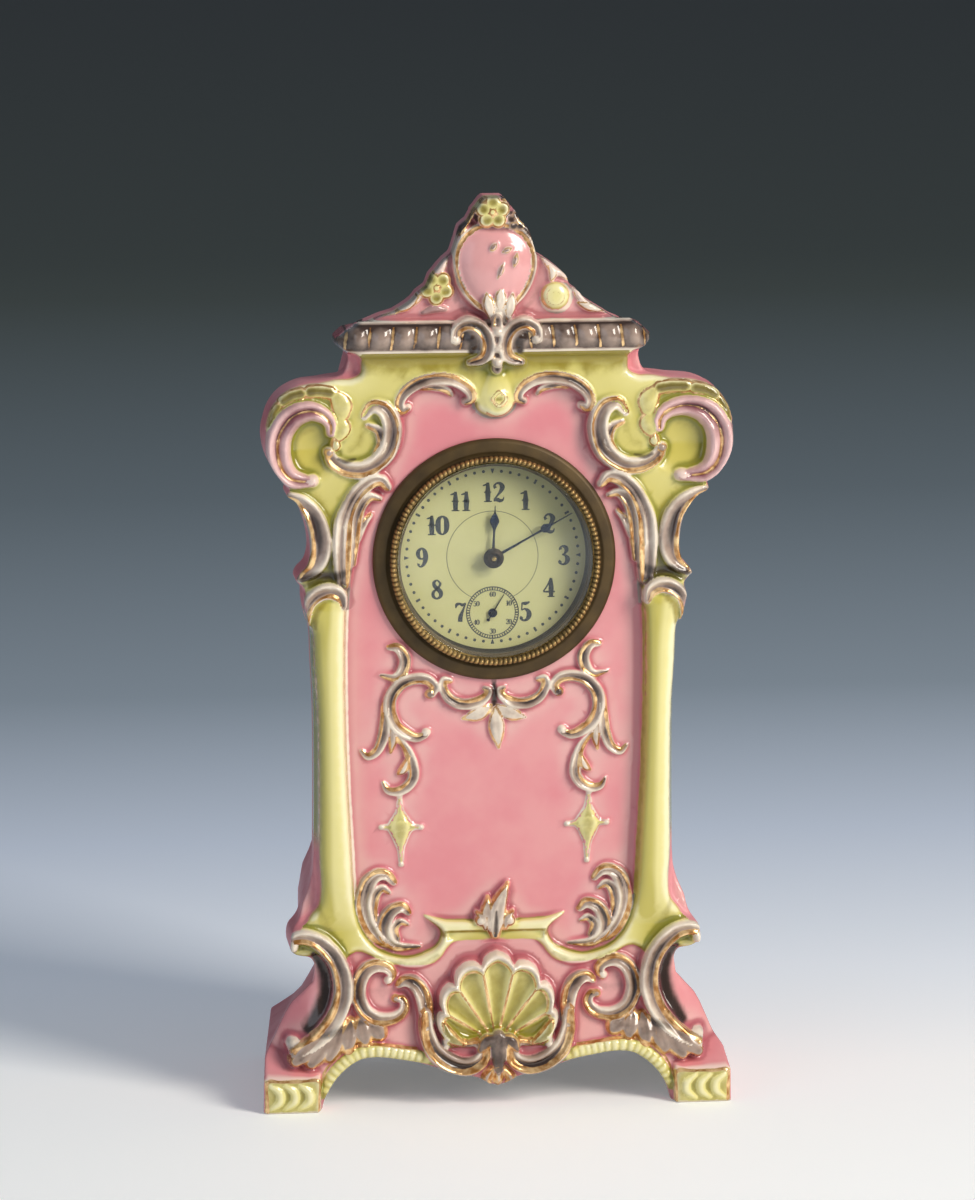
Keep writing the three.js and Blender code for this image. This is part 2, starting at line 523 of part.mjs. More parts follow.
const leftOrnament = [
  columnShaft,
  footBlock,
  slab(starOutline, PANEL_Y - 1.6, PANEL_Y + SINK),
  scroll(offset([[2.8, 6, 1.2], [0.5, 9.5, 2], [-4, 10, 2.6], [-8.8, 6, 3], [-9.9, 0, 3], [-8, -5.5, 2.6],
    [-4.5, -8.8, 1.9], [-1.7, -9.5, 1]], EAR_PLACE), 3.2, onFrame),
  scroll(offset([[14.2, 9.6, 0.9], [16.5, 11, 1.3], [19.6, 9.4, 1.6], [21, 5, 1.8], [19.6, 0, 1.8],
    [16, -4, 1.7], [11.5, -5.6, 1.5], [7.5, -5, 1.3], [4.6, -2, 0.9]], EAR_PLACE), 2.6, onFrame),
  scroll(offset([[8.7, 10.3, 2.6], [8.4, 4.5, 1.6]], EAR_PLACE), 2, onFrame, 3),
  scroll(offset([[-10.6, 8.9, 0.8], [-7.6, 8.1, 1.3], [-4.6, 5.5, 1.8], [-2.6, 0.8, 2.1], [-2, -5, 2.1],
    [-3.4, -9, 1.8], [-7.4, -11.2, 1.1]], BRACKET_PLACE), 2.4, onFrame),
  scroll(offset([[14.6, 12.2, 0.8], [11.2, 13, 1.2], [7.4, 11.1, 1.7], [4.5, 7, 1.9], [3.3, 1.5, 2],
    [4.1, -5.5, 1.8], [5.4, -12, 1.5], [5.8, -16, 0.9]], BRACKET_PLACE), 2.4, onFrame),
  scroll(offset([[-4.9, -26, 1], [-6.6, -21, 1.4], [-4.6, -15.6, 1.6], [0, -14.2, 1.6], [3, -16.2, 1.2],
    [3.7, -18, 0.8]], BRACKET_PLACE), 3, onFrame, 5),
  scroll([[-22.1, DIAL_Z + 38.7, 0.8], [-24.2, DIAL_Z + 40.4, 1.1], [-22.6, DIAL_Z + 44, 1.3],
    [-17.5, DIAL_Z + 47, 1.4], [-11.5, DIAL_Z + 47.3, 1.4], [-7, DIAL_Z + 45, 1.3],
    [-5.6, DIAL_Z + 41.6, 1]],
  2, onFrame),
  scroll(offset([[-2.2, 20.3, 0.8], [0.6, 19.7, 1.2], [2.4, 16.6, 1.5], [1.2, 13, 1.4], [-1.4, 11.9, 1],
    [-4.6, 12.6, 0.5]], PANEL_PLACE), 1.8, onPanel, 5),
  scroll(offset([[9.2, 7.6, 0.9], [8, 11.2, 1.2], [4.5, 12, 1.4], [0.4, 10.6, 1.6], [-2.2, 6, 1.7],
    [-1.6, 0, 1.6], [1.5, -3.2, 1.4], [4.8, -4.4, 1.2], [7.4, -3, 0.8]], PANEL_PLACE), 1.8, onPanel),
  scroll(offset([[-2.6, 2, 0.8], [-3.2, -3.6, 1.3], [-5.2, -7.8, 1.4], [-9.2, -8.4, 0.6]], PANEL_PLACE),
    1.6, onPanel, 4),
  scroll(offset([[0, -3.6, 0.7], [2.7, -7.5, 1.3], [4.1, -12.5, 1.6], [2.6, -16.8, 1.5], [-0.6, -18.6, 1.3],
    [-3.6, -16.5, 0.7]], PANEL_PLACE), 1.8, onPanel, 5),
  scroll(offset([[-11.2, 7.4, 0.6], [-13.4, 7.6, 1], [-13.4, 4.8, 1.2], [-10.8, 1.4, 1.3], [-6.6, 0, 1.3],
    [-2.8, 1.4, 1.1], [-1.4, 4.4, 0.8]], SWAG_PLACE), 1.6, onPanel, 5),
  scroll(offset([[-1.2, -0.6, 0.6], [-4.2, -2.6, 1.5], [-8, -3.3, 0.4]], SWAG_PLACE), 1.4, onPanel, 4),
  scroll(offset([[3.6, 9.2, 1], [0.8, 11.2, 1.3], [-2.9, 9.5, 1.5], [-4.6, 5, 1.6], [-3.6, -1.5, 1.5],
    [-0.6, -6.8, 1.4], [3.6, -9.3, 0.7]], CORNER_PLACE), 1.8, onPanel, 5),
  scroll(offset([[7.6, 1, 0.9], [4.4, 2, 1.3], [1.2, -0.6, 1.5], [0.9, -5, 1.4],
    [4, -8.6, 0.7]], CORNER_PLACE),
    1.7, onPanel, 5),
  scroll(offset([[-5, 10, 1.2], [-6.6, 13.4, 1.6], [-2.4, 13.6, 1.8], [2.4, 10.6, 1.8], [6.1, 5.4, 1.8],
    [6.3, -1, 1.8], [3.6, -7, 1.8], [-1, -11.6, 1.7],
    [-6.6, -15.6, 1.1]], CONSOLE_PLACE), 3.3, onConsole, 8, 4.2),
  scroll(offset([[-0.7, 8, 1.6], [2.6, 3, 2.2], [1.4, -3, 2.4],
    [-3, -9, 1.8]], CONSOLE_PLACE), 2.6, onFlare, 5),
  scroll(offset([[-6.4, -16.8, 0.7], [-1.4, -17, 1.6], [4, -14.6, 1.8], [9, -12.4, 1.7], [15, -10.4, 0.9]],
    CONSOLE_PLACE), 2.6, onFlare, 6),
  scroll(offset([[2.4, 3.6, 0.8], [2.2, 7, 1.1], [-1.5, 8, 1.3], [-5.4, 5.4, 1.4], [-6.7, 0, 1.5],
    [-4.3, -5.4, 1.5], [0.6, -7.6, 1.4], [5.4, -5.8, 1.2], [6.4, -2.2, 0.8]], LOOP_PLACE), 2.6, onFlare, 7),
  scroll(offset([[-25.3, 15.6, 0.7], [-22, 16.6, 1.1], [-18.9, 13.6, 1.4], [-17.3, 8, 1.5], [-18.2, 2, 1.6],
    [-16, -4, 1.7], [-10.5, -7.1, 1.6], [-5.2, -7.4, 1.3], [-3.2, -4, 0.8]], SHELL_PLACE), 2.6, onFlare, 7),
  scroll([[-10.4, CORNICE_Z + 0.6, 0.9], [-9.4, CORNICE_Z + 3.4, 1.2], [-6, CORNICE_Z + 3.8, 1.3],
    [-2.4, CORNICE_Z + 1, 1.4], [-2, CORNICE_Z - 3, 1.3], [-5.2, CORNICE_Z - 5.8, 0.9]], 1.8, onCornice, 6),
  knob(-14.9, CORNICE_TOP + 7.7, 4, FRAME_Y + 1.5),
];

// Ornament of the middle: shell, cartouche, top flower, pendant and leaves.
const shellEdge = [];
const SHELL_LOBES = 7;
for (let i = 0; i < SHELL_LOBES; i += 1) {
  for (const [t, grow] of [[-0.46, 0.93], [-0.2, 1.03], [0.2, 1.03], [0.46, 0.93]]) {
    const a = Math.PI / 2 + (i - 3 + t) * 0.42;
    const reach = (14.5 + 7.8 * Math.max(0, Math.sin(a)) ** 3) * grow;
    shellEdge.push([SHELL_PLACE[0] + reach * Math.cos(a), SHELL_PLACE[1] + reach * Math.sin(a)]);
  }
}
shellEdge.push(...offset([[-8, -6], [-3.6, -8.8], [0, -11.2], [3.6, -8.8], [8, -6]], SHELL_PLACE));
const cartouche = new THREE.SphereGeometry(1, 14, 7);
cartouche.scale(9.5, 4.5, 11);
cartouche.translate(0, FRAME_Y + 2.4, CORNICE_TOP + 13.2);
const pendant = new THREE.SphereGeometry(1, 10, 5);
pendant.scale(5, 2.6, 6);
pendant.translate(0, FRAME_Y, DIAL_Z + 43.5);
const middleOrnament = [
  slab(outline(shellEdge), flareY(25) - 5, flareY(25) + 3, 4, 2.2),
  cartouche,
  pendant,
  knob(0, CORNICE_TOP + PEDIMENT_HEIGHT - 4.2, 4.2, FRAME_Y + 4.4),
  scroll(offset([[0, -0.8, 0.7], [0, -5.5, 2], [0.8, -10.5, 0.5]], SWAG_PLACE), 1.6, onPanel, 4),
  scroll([[0, PANEL_FLOOR_Z - 5, 1.6], [0.4, PANEL_FLOOR_Z + 2, 3],
    [1.6, PANEL_FLOOR_Z + 9, 0.6]], 2, onPanel, 4),
  scroll([[-14, PANEL_FLOOR_Z - 3, 1], [0, PANEL_FLOOR_Z - 2.6, 2.3],
    [14, PANEL_FLOOR_Z - 3, 1]], 1.2, onFrame, 4),
  scroll([[0, CORNICE_Z + 4, 1.2], [0, CORNICE_Z - 8, 1.2]], 2.4, onCornice, 2),
];
const ornament = joined([...bothSides(leftOrnament), ...middleOrnament.map(solid)]);
const porcelainCase = caseBlock.subtract(caseCuts).add(ornament);

// Toothed outline with a bore. phase is the bearing of one tooth.
function toothed(teeth, module, addendum, dedendum, width, phase, place, bore) {
  const shape = new THREE.Shape();
  const pitch = Math.PI * 2 / teeth;
  const tip = module * (teeth / 2 + addendum);
  const root = module * (teeth / 2 - dedendum);
  for (let i = 0; i < teeth; i += 1) {
    for (const [r, side] of [[root, -0.62], [tip, 0], [root, 0.62]]) {
      const a = phase + pitch * (i + side * width);
      const x = place[0] + r * Math.cos(a);
      const z = DIAL_Z + place[1] + r * Math.sin(a);
      if (i === 0 && side === -0.62) shape.moveTo(x, z);
      else shape.lineTo(x, z);
    }
  }
  if (bore > 0) circleHole(shape, bore, place);
  return shape;
}

function wheel(teeth, module, place, mate, bore) {
  return toothed(teeth, module, 0.9, 1.05, 0.62, bearing(place, mate), place, bore);
}

function pinion(leaves, module, place, mate, bore) {
  return toothed(leaves, module, 0.75, 1.15, 0.5, bearing(place, mate) + Math.PI / leaves, place, bore);
}

// Arbor with a pinion: stepped shaft between the plates, its leaves cut into one steel piece.
function arbor(place, leaves, module, mate, pinionY, wheelY, front, back) {
  const shaft = turned([
    [0, front], [PIVOT_RADIUS, front], [PIVOT_RADIUS, TRAIN_Y + SEAT_GAP],
    [ARBOR_RADIUS, TRAIN_Y + SEAT_GAP],
    [ARBOR_RADIUS, BACK_PLATE_Y - SEAT_GAP], [PIVOT_RADIUS, BACK_PLATE_Y - SEAT_GAP],
    [PIVOT_RADIUS, back], [0, back],
  ], place);
  const collet = disc(COLLET_RADIUS, wheelY - 0.5, wheelY + WHEEL_THICKNESS + 0.5, place);
  const leavesBody = slab(pinion(leaves, module, place, mate, 0), pinionY, pinionY + PINION_LENGTH);
  return joined([solid(shaft), solid(collet), solid(leavesBody)]);
}

const PIVOT_FRONT = FRONT_PLATE_Y + 0.1;
const PIVOT_BACK = BACK_PLATE_END - 0.1;
const WHEEL_BORE = COLLET_RADIUS + RUN_GAP;
const thirdArbor = arbor(THIRD, LEAVES, CENTRE_MODULE, CENTRE, CENTRE_WHEEL_Y - 0.6, THIRD_WHEEL_Y,
  PIVOT_FRONT, PIVOT_BACK);
const fourthArbor = arbor(FOURTH, LEAVES, THIRD_MODULE, THIRD, THIRD_WHEEL_Y - 0.6, FOURTH_WHEEL_Y,
  SECONDS_HAND_Y - HAND_THICKNESS, PIVOT_BACK);
const escapeArbor = arbor(ESCAPE, LEAVES, FOURTH_MODULE, FOURTH, FOURTH_WHEEL_Y - 0.6, ESCAPE_WHEEL_Y,
  PIVOT_FRONT, PIVOT_BACK);

// Plain shaft with a thicker waist, for the pallets and the balance.
function staff(place, waistY, waist, waistLength) {
  return turned([
    [0, PIVOT_FRONT], [PIVOT_RADIUS, PIVOT_FRONT], [PIVOT_RADIUS, waistY], [waist, waistY],
    [waist, waistY + waistLength], [PIVOT_RADIUS, waistY + waistLength], [PIVOT_RADIUS, PIVOT_BACK],
    [0, PIVOT_BACK],
  ], place);
}

// Escape wheel: raked pointed teeth.
const escapeShape = new THREE.Shape();
for (let i = 0; i < ESCAPE_TEETH; i += 1) {
  const root = ESCAPE_RADIUS - ESCAPE_DEPTH;
  for (const [r, turn] of [[root, 0], [ESCAPE_RADIUS, 0.42], [ESCAPE_RADIUS, 0.5], [root, 0.6]]) {
    const a = (i + turn) * Math.PI * 2 / ESCAPE_TEETH;
    const x = ESCAPE[0] + r * Math.cos(a);
    const z = DIAL_Z + ESCAPE[1] + r * Math.sin(a);
    if (i === 0 && turn === 0) escapeShape.moveTo(x, z);
    else escapeShape.lineTo(x, z);
  }
}
circleHole(escapeShape, WHEEL_BORE, ESCAPE);

// Pallet lever: two arms over the escape wheel and a fork towards the balance.
const LEVER_WAIST = 0.6;
const toEscape = bearing(PALLET, ESCAPE);
const toBalance = bearing(PALLET, BALANCE);
const leverShape = outline([
  about(PALLET, 1.4, toBalance - 1.2), about(PALLET, BALANCE_RADIUS * 0.6, toBalance - 0.16),
  about(PALLET, BALANCE_RADIUS * 0.48, toBalance), about(PALLET, BALANCE_RADIUS * 0.6, toBalance + 0.16),
  about(PALLET, 1.4, toBalance + 1.2), about(PALLET, 4.4, toEscape - 1.34),
  about(PALLET, 4.6, toEscape - 1.02), about(PALLET, 2.9, toEscape - 1.2),
  about(PALLET, LEVER_WAIST + 0.4, toEscape), about(PALLET, 2.9, toEscape + 1.2),
  about(PALLET, 4.6, toEscape + 1.02), about(PALLET, 4.4, toEscape + 1.34),
]);
circleHole(leverShape, LEVER_WAIST + RUN_GAP, PALLET);

// Balance: rim with two arms.
const STAFF_WAIST = 0.7;
const balanceShape = new THREE.Shape();
balanceShape.absarc(BALANCE[0], DIAL_Z + BALANCE[1], BALANCE_RADIUS, 0, Math.PI * 2, false);
circleHole(balanceShape, STAFF_WAIST + RUN_GAP, BALANCE);
for (const side of [0, Math.PI]) {
  const half = new THREE.Path();
  const inner = BALANCE_RADIUS - 0.8;
  half.absarc(BALANCE[0], DIAL_Z + BALANCE[1], inner, side + 0.22, side + Math.PI - 0.22, false);
  half.absarc(BALANCE[0], DIAL_Z + BALANCE[1], 1.6, side + Math.PI - 0.5, side + 0.5, true);
  balanceShape.holes.push(half);
}

// Flat spiral spring: one band wound from an inner to an outer radius.
function spiral(place, inner, outer, turns, band, yFront, yBack, perTurn) {
  const steps = Math.round(turns * perTurn);
  const edge = (shift) => Array.from({ length: steps + 1 }, (_, i) => {
    const t = i / steps;
    return about(place, inner + (outer - inner) * t + shift, t * turns * Math.PI * 2);
  });
  const gap = (outer - inner) / turns - band;
  console.log(`spring gap to itself ${gap.toFixed(2)} mm`);
  return slab(outline([...edge(band / 2), ...edge(-band / 2).reverse()]), yFront, yBack);
}

// Hands: a stem with a pear-shaped swelling and a hub with a bore.
function hand(place, angle, hub, bore, stem) {
  const a = angle * Math.PI / 180;
  const turn = ([x, z]) => [
    place[0] + x * Math.cos(a) + z * Math.sin(a),
    DIAL_Z + place[1] - x * Math.sin(a) + z * Math.cos(a),
  ];
  const root = Math.asin(stem[0][0] / hub);
  const rim = Array.from({ length: 15 }, (_, i) => {
    const t = Math.PI / 2 - root - (Math.PI * 2 - 2 * root) * (i / 14);
    return [hub * Math.cos(t), hub * Math.sin(t)];
  });
  const left = stem.slice(1).map(([x, z]) => [-x, z]);
  const right = stem.slice(1).reverse();
  const shape = outline([...rim, ...left, ...right].map(turn));
  circleHole(shape, bore, place);
  return shape;
}

const HAND_STEM = 0.36;
const minuteStem = [
  [HAND_STEM, 0], [HAND_STEM, MINUTE_LENGTH * 0.55], [1.15, MINUTE_LENGTH * 0.63],
  [1, MINUTE_LENGTH * 0.69],
  [0.34, MINUTE_LENGTH * 0.77], [0.12, MINUTE_LENGTH],
];
const hourStem = [
  [HAND_STEM, 0], [HAND_STEM, HOUR_LENGTH * 0.58], [1.35, HOUR_LENGTH * 0.7], [1.1, HOUR_LENGTH * 0.78],
  [0.34, HOUR_LENGTH * 0.88], [0.12, HOUR_LENGTH],
];
const secondsStem = [[0.2, 0], [0.16, SECONDS_LENGTH * 0.8], [0.08, SECONDS_LENGTH]];

// Plates: round, drilled for every pivot.
const pillarPlaces = PILLAR_ANGLES.map((angle) => polar(CENTRE, SEAT_RADIUS - 4, angle));
const pivotPlaces = [THIRD, FOURTH, ESCAPE, PALLET, BALANCE];
const PILLAR_TENON = 0.8;
const FOOT_ANGLES = [100, 280];
const FEET_RADIUS = SEAT_RADIUS - 2;

function plate(radius, yFront, yBack, windingBore) {
  const shape = new THREE.Shape();
  shape.absarc(0, DIAL_Z, radius, 0, Math.PI * 2, false);
  pivotPlaces.forEach((place) => circleHole(shape, PIVOT_RADIUS + RUN_GAP, place));
  pillarPlaces.forEach((place) => circleHole(shape, PILLAR_TENON + RUN_GAP, place));
  circleHole(shape, CENTRE_RADIUS + RUN_GAP, CENTRE);
  circleHole(shape, windingBore, GREAT);
  return solid(slab(shape, yFront, yBack, WIDE_ROUND / 2));
}

const minuteStud = solid(disc(ARBOR_RADIUS, HOUR_WHEEL_Y - 0.6, FRONT_PLATE_Y + SINK / 2, MINUTE));
const frontPlate = plate(SEAT_RADIUS, FRONT_PLATE_Y, TRAIN_Y,
  WINDING_RADIUS * 0.6 + RUN_GAP).add(minuteStud);
const backPlate = plate(SEAT_RADIUS, BACK_PLATE_Y, BACK_PLATE_END, WINDING_RADIUS + RUN_GAP);

function pillar(place) {
  return turned([
    [0, FRONT_PLATE_Y + 0.1], [PILLAR_TENON, FRONT_PLATE_Y + 0.1], [PILLAR_TENON, TRAIN_Y + SEAT_GAP],
    [PILLAR_RADIUS, TRAIN_Y + SEAT_GAP], [PILLAR_RADIUS, BACK_PLATE_Y - SEAT_GAP],
    [PILLAR_TENON, BACK_PLATE_Y - SEAT_GAP], [PILLAR_TENON, BACK_PLATE_END + 1.8],
    [0, BACK_PLATE_END + 1.8],
  ], place);
}

function pillarNut(place) {
  return ring(PILLAR_TENON + RUN_GAP, 1.7, BACK_PLATE_END + SEAT_GAP, BACK_PLATE_END + 1.5, place, ROUND);
}

// Centre: the arbor carries the hands and the set knob, the wheel turns on it with friction.
const centreArbor = disc(CENTRE_RADIUS, MINUTE_HAND_Y - HAND_THICKNESS, KNOB_Y + KNOB_LENGTH - 0.6);
const cannonTeeth = slab(
  pinion(CANNON_TEETH, MINUTE_MODULE, CENTRE, MINUTE, CENTRE_RADIUS + RUN_GAP),
  FRONT_PLATE_Y - SEAT_GAP - 1.1, FRONT_PLATE_Y - SEAT_GAP, 4);
const cannonPipe = ring(CENTRE_RADIUS + RUN_GAP, CANNON_PIPE, MINUTE_HAND_Y - HAND_THICKNESS,
  FRONT_PLATE_Y - SEAT_GAP, CENTRE, ROUND);
const cannonPinion = solid(cannonTeeth).add(solid(cannonPipe));
const hourDisc = slab(
  wheel(HOUR_TEETH, HOUR_MODULE, CENTRE, MINUTE, CANNON_PIPE + RUN_GAP), HOUR_WHEEL_Y,
    HOUR_WHEEL_Y + WHEEL_THICKNESS, 4);
const hourPipe = ring(CANNON_PIPE + RUN_GAP, HOUR_PIPE, HOUR_HAND_Y - HAND_THICKNESS,
  HOUR_WHEEL_Y + WHEEL_THICKNESS, CENTRE, ROUND);
const hourWheel = solid(hourDisc).add(solid(hourPipe));
const minuteBore = ARBOR_RADIUS + RUN_GAP;
const minuteWheel = joined([
  solid(slab(wheel(MINUTE_TEETH, MINUTE_MODULE, MINUTE, CENTRE, minuteBore), MINUTE_WHEEL_Y,
    MINUTE_WHEEL_Y + WHEEL_THICKNESS, 4)),
  solid(slab(pinion(CANNON_TEETH, HOUR_MODULE, MINUTE, CENTRE, minuteBore), HOUR_WHEEL_Y - 0.3,
    MINUTE_WHEEL_Y + 0.2, 4)),
]);
const centrePinionBody = joined([
  solid(slab(pinion(CENTRE_LEAVES, GREAT_MODULE, CENTRE, GREAT, CENTRE_RADIUS + RUN_GAP),
    GREAT_WHEEL_Y - 0.6, GREAT_WHEEL_Y + GREAT_THICKNESS + 0.6, 4)),
  solid(ring(CENTRE_RADIUS + RUN_GAP, CENTRE_RADIUS + RUN_GAP + 0.4, TRAIN_Y + SEAT_GAP,
    BACK_PLATE_Y - SEAT_GAP, CENTRE, ROUND)),
]);

// Winding: arbor, great wheel with its click, ratchet, open mainspring and wing key.
const windingArbor = turned([
  [0, FRONT_PLATE_Y + 0.1], [WINDING_RADIUS * 0.6, FRONT_PLATE_Y + 0.1],
  [WINDING_RADIUS * 0.6, TRAIN_Y + SEAT_GAP],
  [WINDING_RADIUS, TRAIN_Y + SEAT_GAP], [WINDING_RADIUS, KEY_Y + KEY_LENGTH * 0.45],
  [0, KEY_Y + KEY_LENGTH * 0.45],
], GREAT);
const ratchetShape = new THREE.Shape();
for (let i = 0; i < RATCHET_TEETH; i += 1) {
  for (const [r, turn] of [[RATCHET_RADIUS - 0.8, 0.02], [RATCHET_RADIUS, 0.94],
    [RATCHET_RADIUS - 0.8, 1]]) {
    const [x, z] = about(GREAT, r, (i + turn) * Math.PI * 2 / RATCHET_TEETH);
    if (i === 0 && turn < 0.1) ratchetShape.moveTo(x, z);
    else ratchetShape.lineTo(x, z);
  }
}
circleHole(ratchetShape, WINDING_RADIUS + RUN_GAP, GREAT);
const CLICK_PLACE = polar(GREAT, RATCHET_RADIUS + 2.6, 20);
const CLICK_PIN = 0.5;
const clickLine = bearing(CLICK_PLACE, GREAT) - 0.75;
const clickShape = outline([
  about(CLICK_PLACE, 1, clickLine + 2.4), about(CLICK_PLACE, 1, clickLine + 3.9),
  about(CLICK_PLACE, 1.1, clickLine - 1.2), about(CLICK_PLACE, 3.4, clickLine - 0.12),
  about(CLICK_PLACE, 3.3, clickLine + 0.16), about(CLICK_PLACE, 1, clickLine + 1.2),
]);
circleHole(clickShape, CLICK_PIN + RUN_GAP, CLICK_PLACE);
const clickPin = solid(disc(CLICK_PIN, GREAT_WHEEL_Y + GREAT_THICKNESS - SINK / 2,
  RATCHET_Y + RATCHET_THICKNESS, CLICK_PLACE));
const greatWheel = solid(slab(
  wheel(GREAT_TEETH, GREAT_MODULE, GREAT, CENTRE, WINDING_RADIUS + RUN_GAP),
  GREAT_WHEEL_Y, GREAT_WHEEL_Y + GREAT_THICKNESS, 4)).add(clickPin);
const KEY_HUB = WINDING_RADIUS + 1.4;
const keyHub = turned([
  [WINDING_RADIUS + RUN_GAP, KEY_Y], [KEY_HUB, KEY_Y], [KEY_HUB, KEY_Y + KEY_LENGTH * 0.6],
  [0, KEY_Y + KEY_LENGTH * 0.6], [0, KEY_Y + KEY_LENGTH * 0.45 + SEAT_GAP],
  [WINDING_RADIUS + RUN_GAP, KEY_Y + KEY_LENGTH * 0.45 + SEAT_GAP], [WINDING_RADIUS + RUN_GAP, KEY_Y],
], GREAT);
const wings = new THREE.Shape();
const wingTop = KEY_LENGTH * 0.42;
wings.moveTo(-2, 0);
wings.quadraticCurveTo(-WING_REACH, 0, -WING_REACH, wingTop * 0.55);
wings.quadraticCurveTo(-WING_REACH, wingTop, -WING_REACH * 0.5, wingTop);
wings.quadraticCurveTo(-1.5, wingTop, 0, wingTop * 0.6);
wings.quadraticCurveTo(1.5, wingTop, WING_REACH * 0.5, wingTop);
wings.quadraticCurveTo(WING_REACH, wingTop, WING_REACH, wingTop * 0.55);
wings.quadraticCurveTo(WING_REACH, 0, 2, 0);
const wingPlate = new THREE.ExtrudeGeometry(wings, { depth: 1.6, bevelEnabled: false, curveSegments: 6 });
wingPlate.translate(GREAT[0], KEY_Y + KEY_LENGTH * 0.58, DIAL_Z + GREAT[1] - 0.8);
const windingKey = solid(keyHub).add(solid(wingPlate));

// Dust cover with holes for the arbors, and the regulator on its outside.
const COVER_SKIRT = 3;
const coverBody = solid(turned([
  [0, COVER_Y], [SEAT_RADIUS - SHEET, COVER_Y], [SEAT_RADIUS - SHEET, COVER_Y - COVER_SKIRT],
  [SEAT_RADIUS, COVER_Y - COVER_SKIRT], [SEAT_RADIUS, COVER_Y], [DRUM_OUTER, COVER_Y],
  [DRUM_OUTER, COVER_END],
  [0, COVER_END],
], CENTRE, WIDE_ROUND));
const REGULATOR_POST = 1;
const coverPost = solid(disc(REGULATOR_POST, COVER_Y + SHEET / 2, COVER_END + 1.4, BALANCE));
const coverHoles = joined([
  solid(disc(CENTRE_RADIUS + LOOSE_GAP, COVER_Y - SINK, COVER_END + SINK)),
  solid(disc(WINDING_RADIUS + LOOSE_GAP, COVER_Y - SINK, COVER_END + SINK, GREAT)),
]);
const dustCover = coverBody.subtract(coverHoles).add(coverPost);
const regulatorShape = outline([
  about(BALANCE, 1.9, 0.6), about(BALANCE, 1.9, 1.2), about(BALANCE, 5.5, 1.5), about(BALANCE, 6.6, 1.57),
  about(BALANCE, 5.5, 1.64), about(BALANCE, 1.9, 1.95), about(BALANCE, 1.9, 2.7), about(BALANCE, 1.9, 3.7),
  about(BALANCE, 1.9, 4.7), about(BALANCE, 1.9, 5.7),
]);
circleHole(regulatorShape, REGULATOR_POST + RUN_GAP, BALANCE);

// Straps from the flange to the rear ring, each with a foot for its screw.
function strap(side) {
  const legs = [
    [STRAP_INNER, STRAP_OUTER, FLANGE_BACK + SEAT_GAP, CASE_BACK_Y - CASE_WALL],
    [STRAP_INNER, REAR_HOLE - 2 * SEAT_GAP, CASE_BACK_Y - CASE_WALL - STRAP_THICKNESS,
    CASE_BACK_Y - CASE_WALL],
  ].map(([x0, x1, y0, y1]) => {
    const box = new THREE.BoxGeometry(x1 - x0, y1 - y0, STRAP_WIDTH);
    box.translate(side * (x0 + x1) / 2, (y0 + y1) / 2, DIAL_Z);
    return solid(box);
  });
  const hole = disc(SCREW_RADIUS + RUN_GAP, CASE_BACK_Y - CASE_WALL * 2, CASE_BACK_Y,
    [side * SCREW_PLACE, 0]);
  return joined(legs).subtract(solid(hole));
}

function strapScrew(side) {
  const end = CASE_BACK_Y - CASE_WALL - STRAP_THICKNESS - 1.2;
  return turned([
    [0, end], [SCREW_RADIUS, end], [SCREW_RADIUS, RING_END + SEAT_GAP],
    [SCREW_RADIUS * 1.8, RING_END + SEAT_GAP],
    [SCREW_RADIUS * 1.8, SCREW_TOP], [0, SCREW_TOP],
  ], [side * SCREW_PLACE, 0]);
}

const ringShape = new THREE.Shape();
ringShape.absarc(0, DIAL_Z, RING_OUTER, 0, Math.PI * 2, false);
circleHole(ringShape, RING_INNER, CENTRE, WIDE_ROUND);
for (const side of [-1, 1]) circleHole(ringShape, SCREW_RADIUS + RUN_GAP, [side * SCREW_PLACE, 0]);

// Dial: thin disc with holes for the hour pipe and the seconds arbor.
const dialShape = new THREE.Shape();
dialShape.absarc(0, DIAL_Z, SEAT_RADIUS, 0, Math.PI * 2, false);
circleHole(dialShape, DIAL_HOLE, CENTRE);
circleHole(dialShape, PIVOT_RADIUS + LOOSE_GAP, FOURTH);

const ropeRing = turned([
  [ROPE_INNER, GLASS_BACK], [ROPE_OUTER, GLASS_BACK], [ROPE_OUTER, ROPE_FRONT + 1],
  [ROPE_OUTER - 0.7, ROPE_FRONT],
  [ROPE_INNER - 0.4, ROPE_FRONT], [DIAL_SIGHT_RADIUS, GLASS_FRONT - SEAT_GAP],
  [ROPE_INNER, GLASS_FRONT - SEAT_GAP],
  [ROPE_INNER, GLASS_BACK],
].reverse(), CENTRE, WIDE_ROUND);
const flange = turned([
  [DIAL_SIGHT_RADIUS - 0.1, FLANGE_FRONT], [FLANGE_RADIUS - 0.8, FLANGE_FRONT],
  [FLANGE_RADIUS, FLANGE_FRONT + 0.6],
  [FLANGE_RADIUS, FLANGE_BACK], [DIAL_SIGHT_RADIUS - 0.1, FLANGE_BACK],
  [DIAL_SIGHT_RADIUS - 0.1, FLANGE_FRONT],
], CENTRE, WIDE_ROUND);
const sightRing = turned([
  [DIAL_SIGHT_RADIUS + 0.3, SIGHT_FRONT], [SEAT_RADIUS, SIGHT_FRONT], [SEAT_RADIUS, DIAL_FRONT - SEAT_GAP],
  [DIAL_SIGHT_RADIUS - 0.3, DIAL_FRONT - SEAT_GAP], [DIAL_SIGHT_RADIUS + 0.3, SIGHT_FRONT],
], CENTRE, WIDE_ROUND);
const knobShape = toothed(20, KNOB_RADIUS / 10, 0, 0.6, 0.62, 0, CENTRE, CENTRE_RADIUS + RUN_GAP);

const group = new THREE.Group();
group.name = "mantel_clock";

function add(name, geometry, color, metalness, roughness) {
  const material = new THREE.MeshStandardMaterial({ color, metalness, roughness });
  material.name = name;
  const mesh = new THREE.Mesh(closed(geometry), material);
  mesh.name = name;
  group.add(mesh);
}

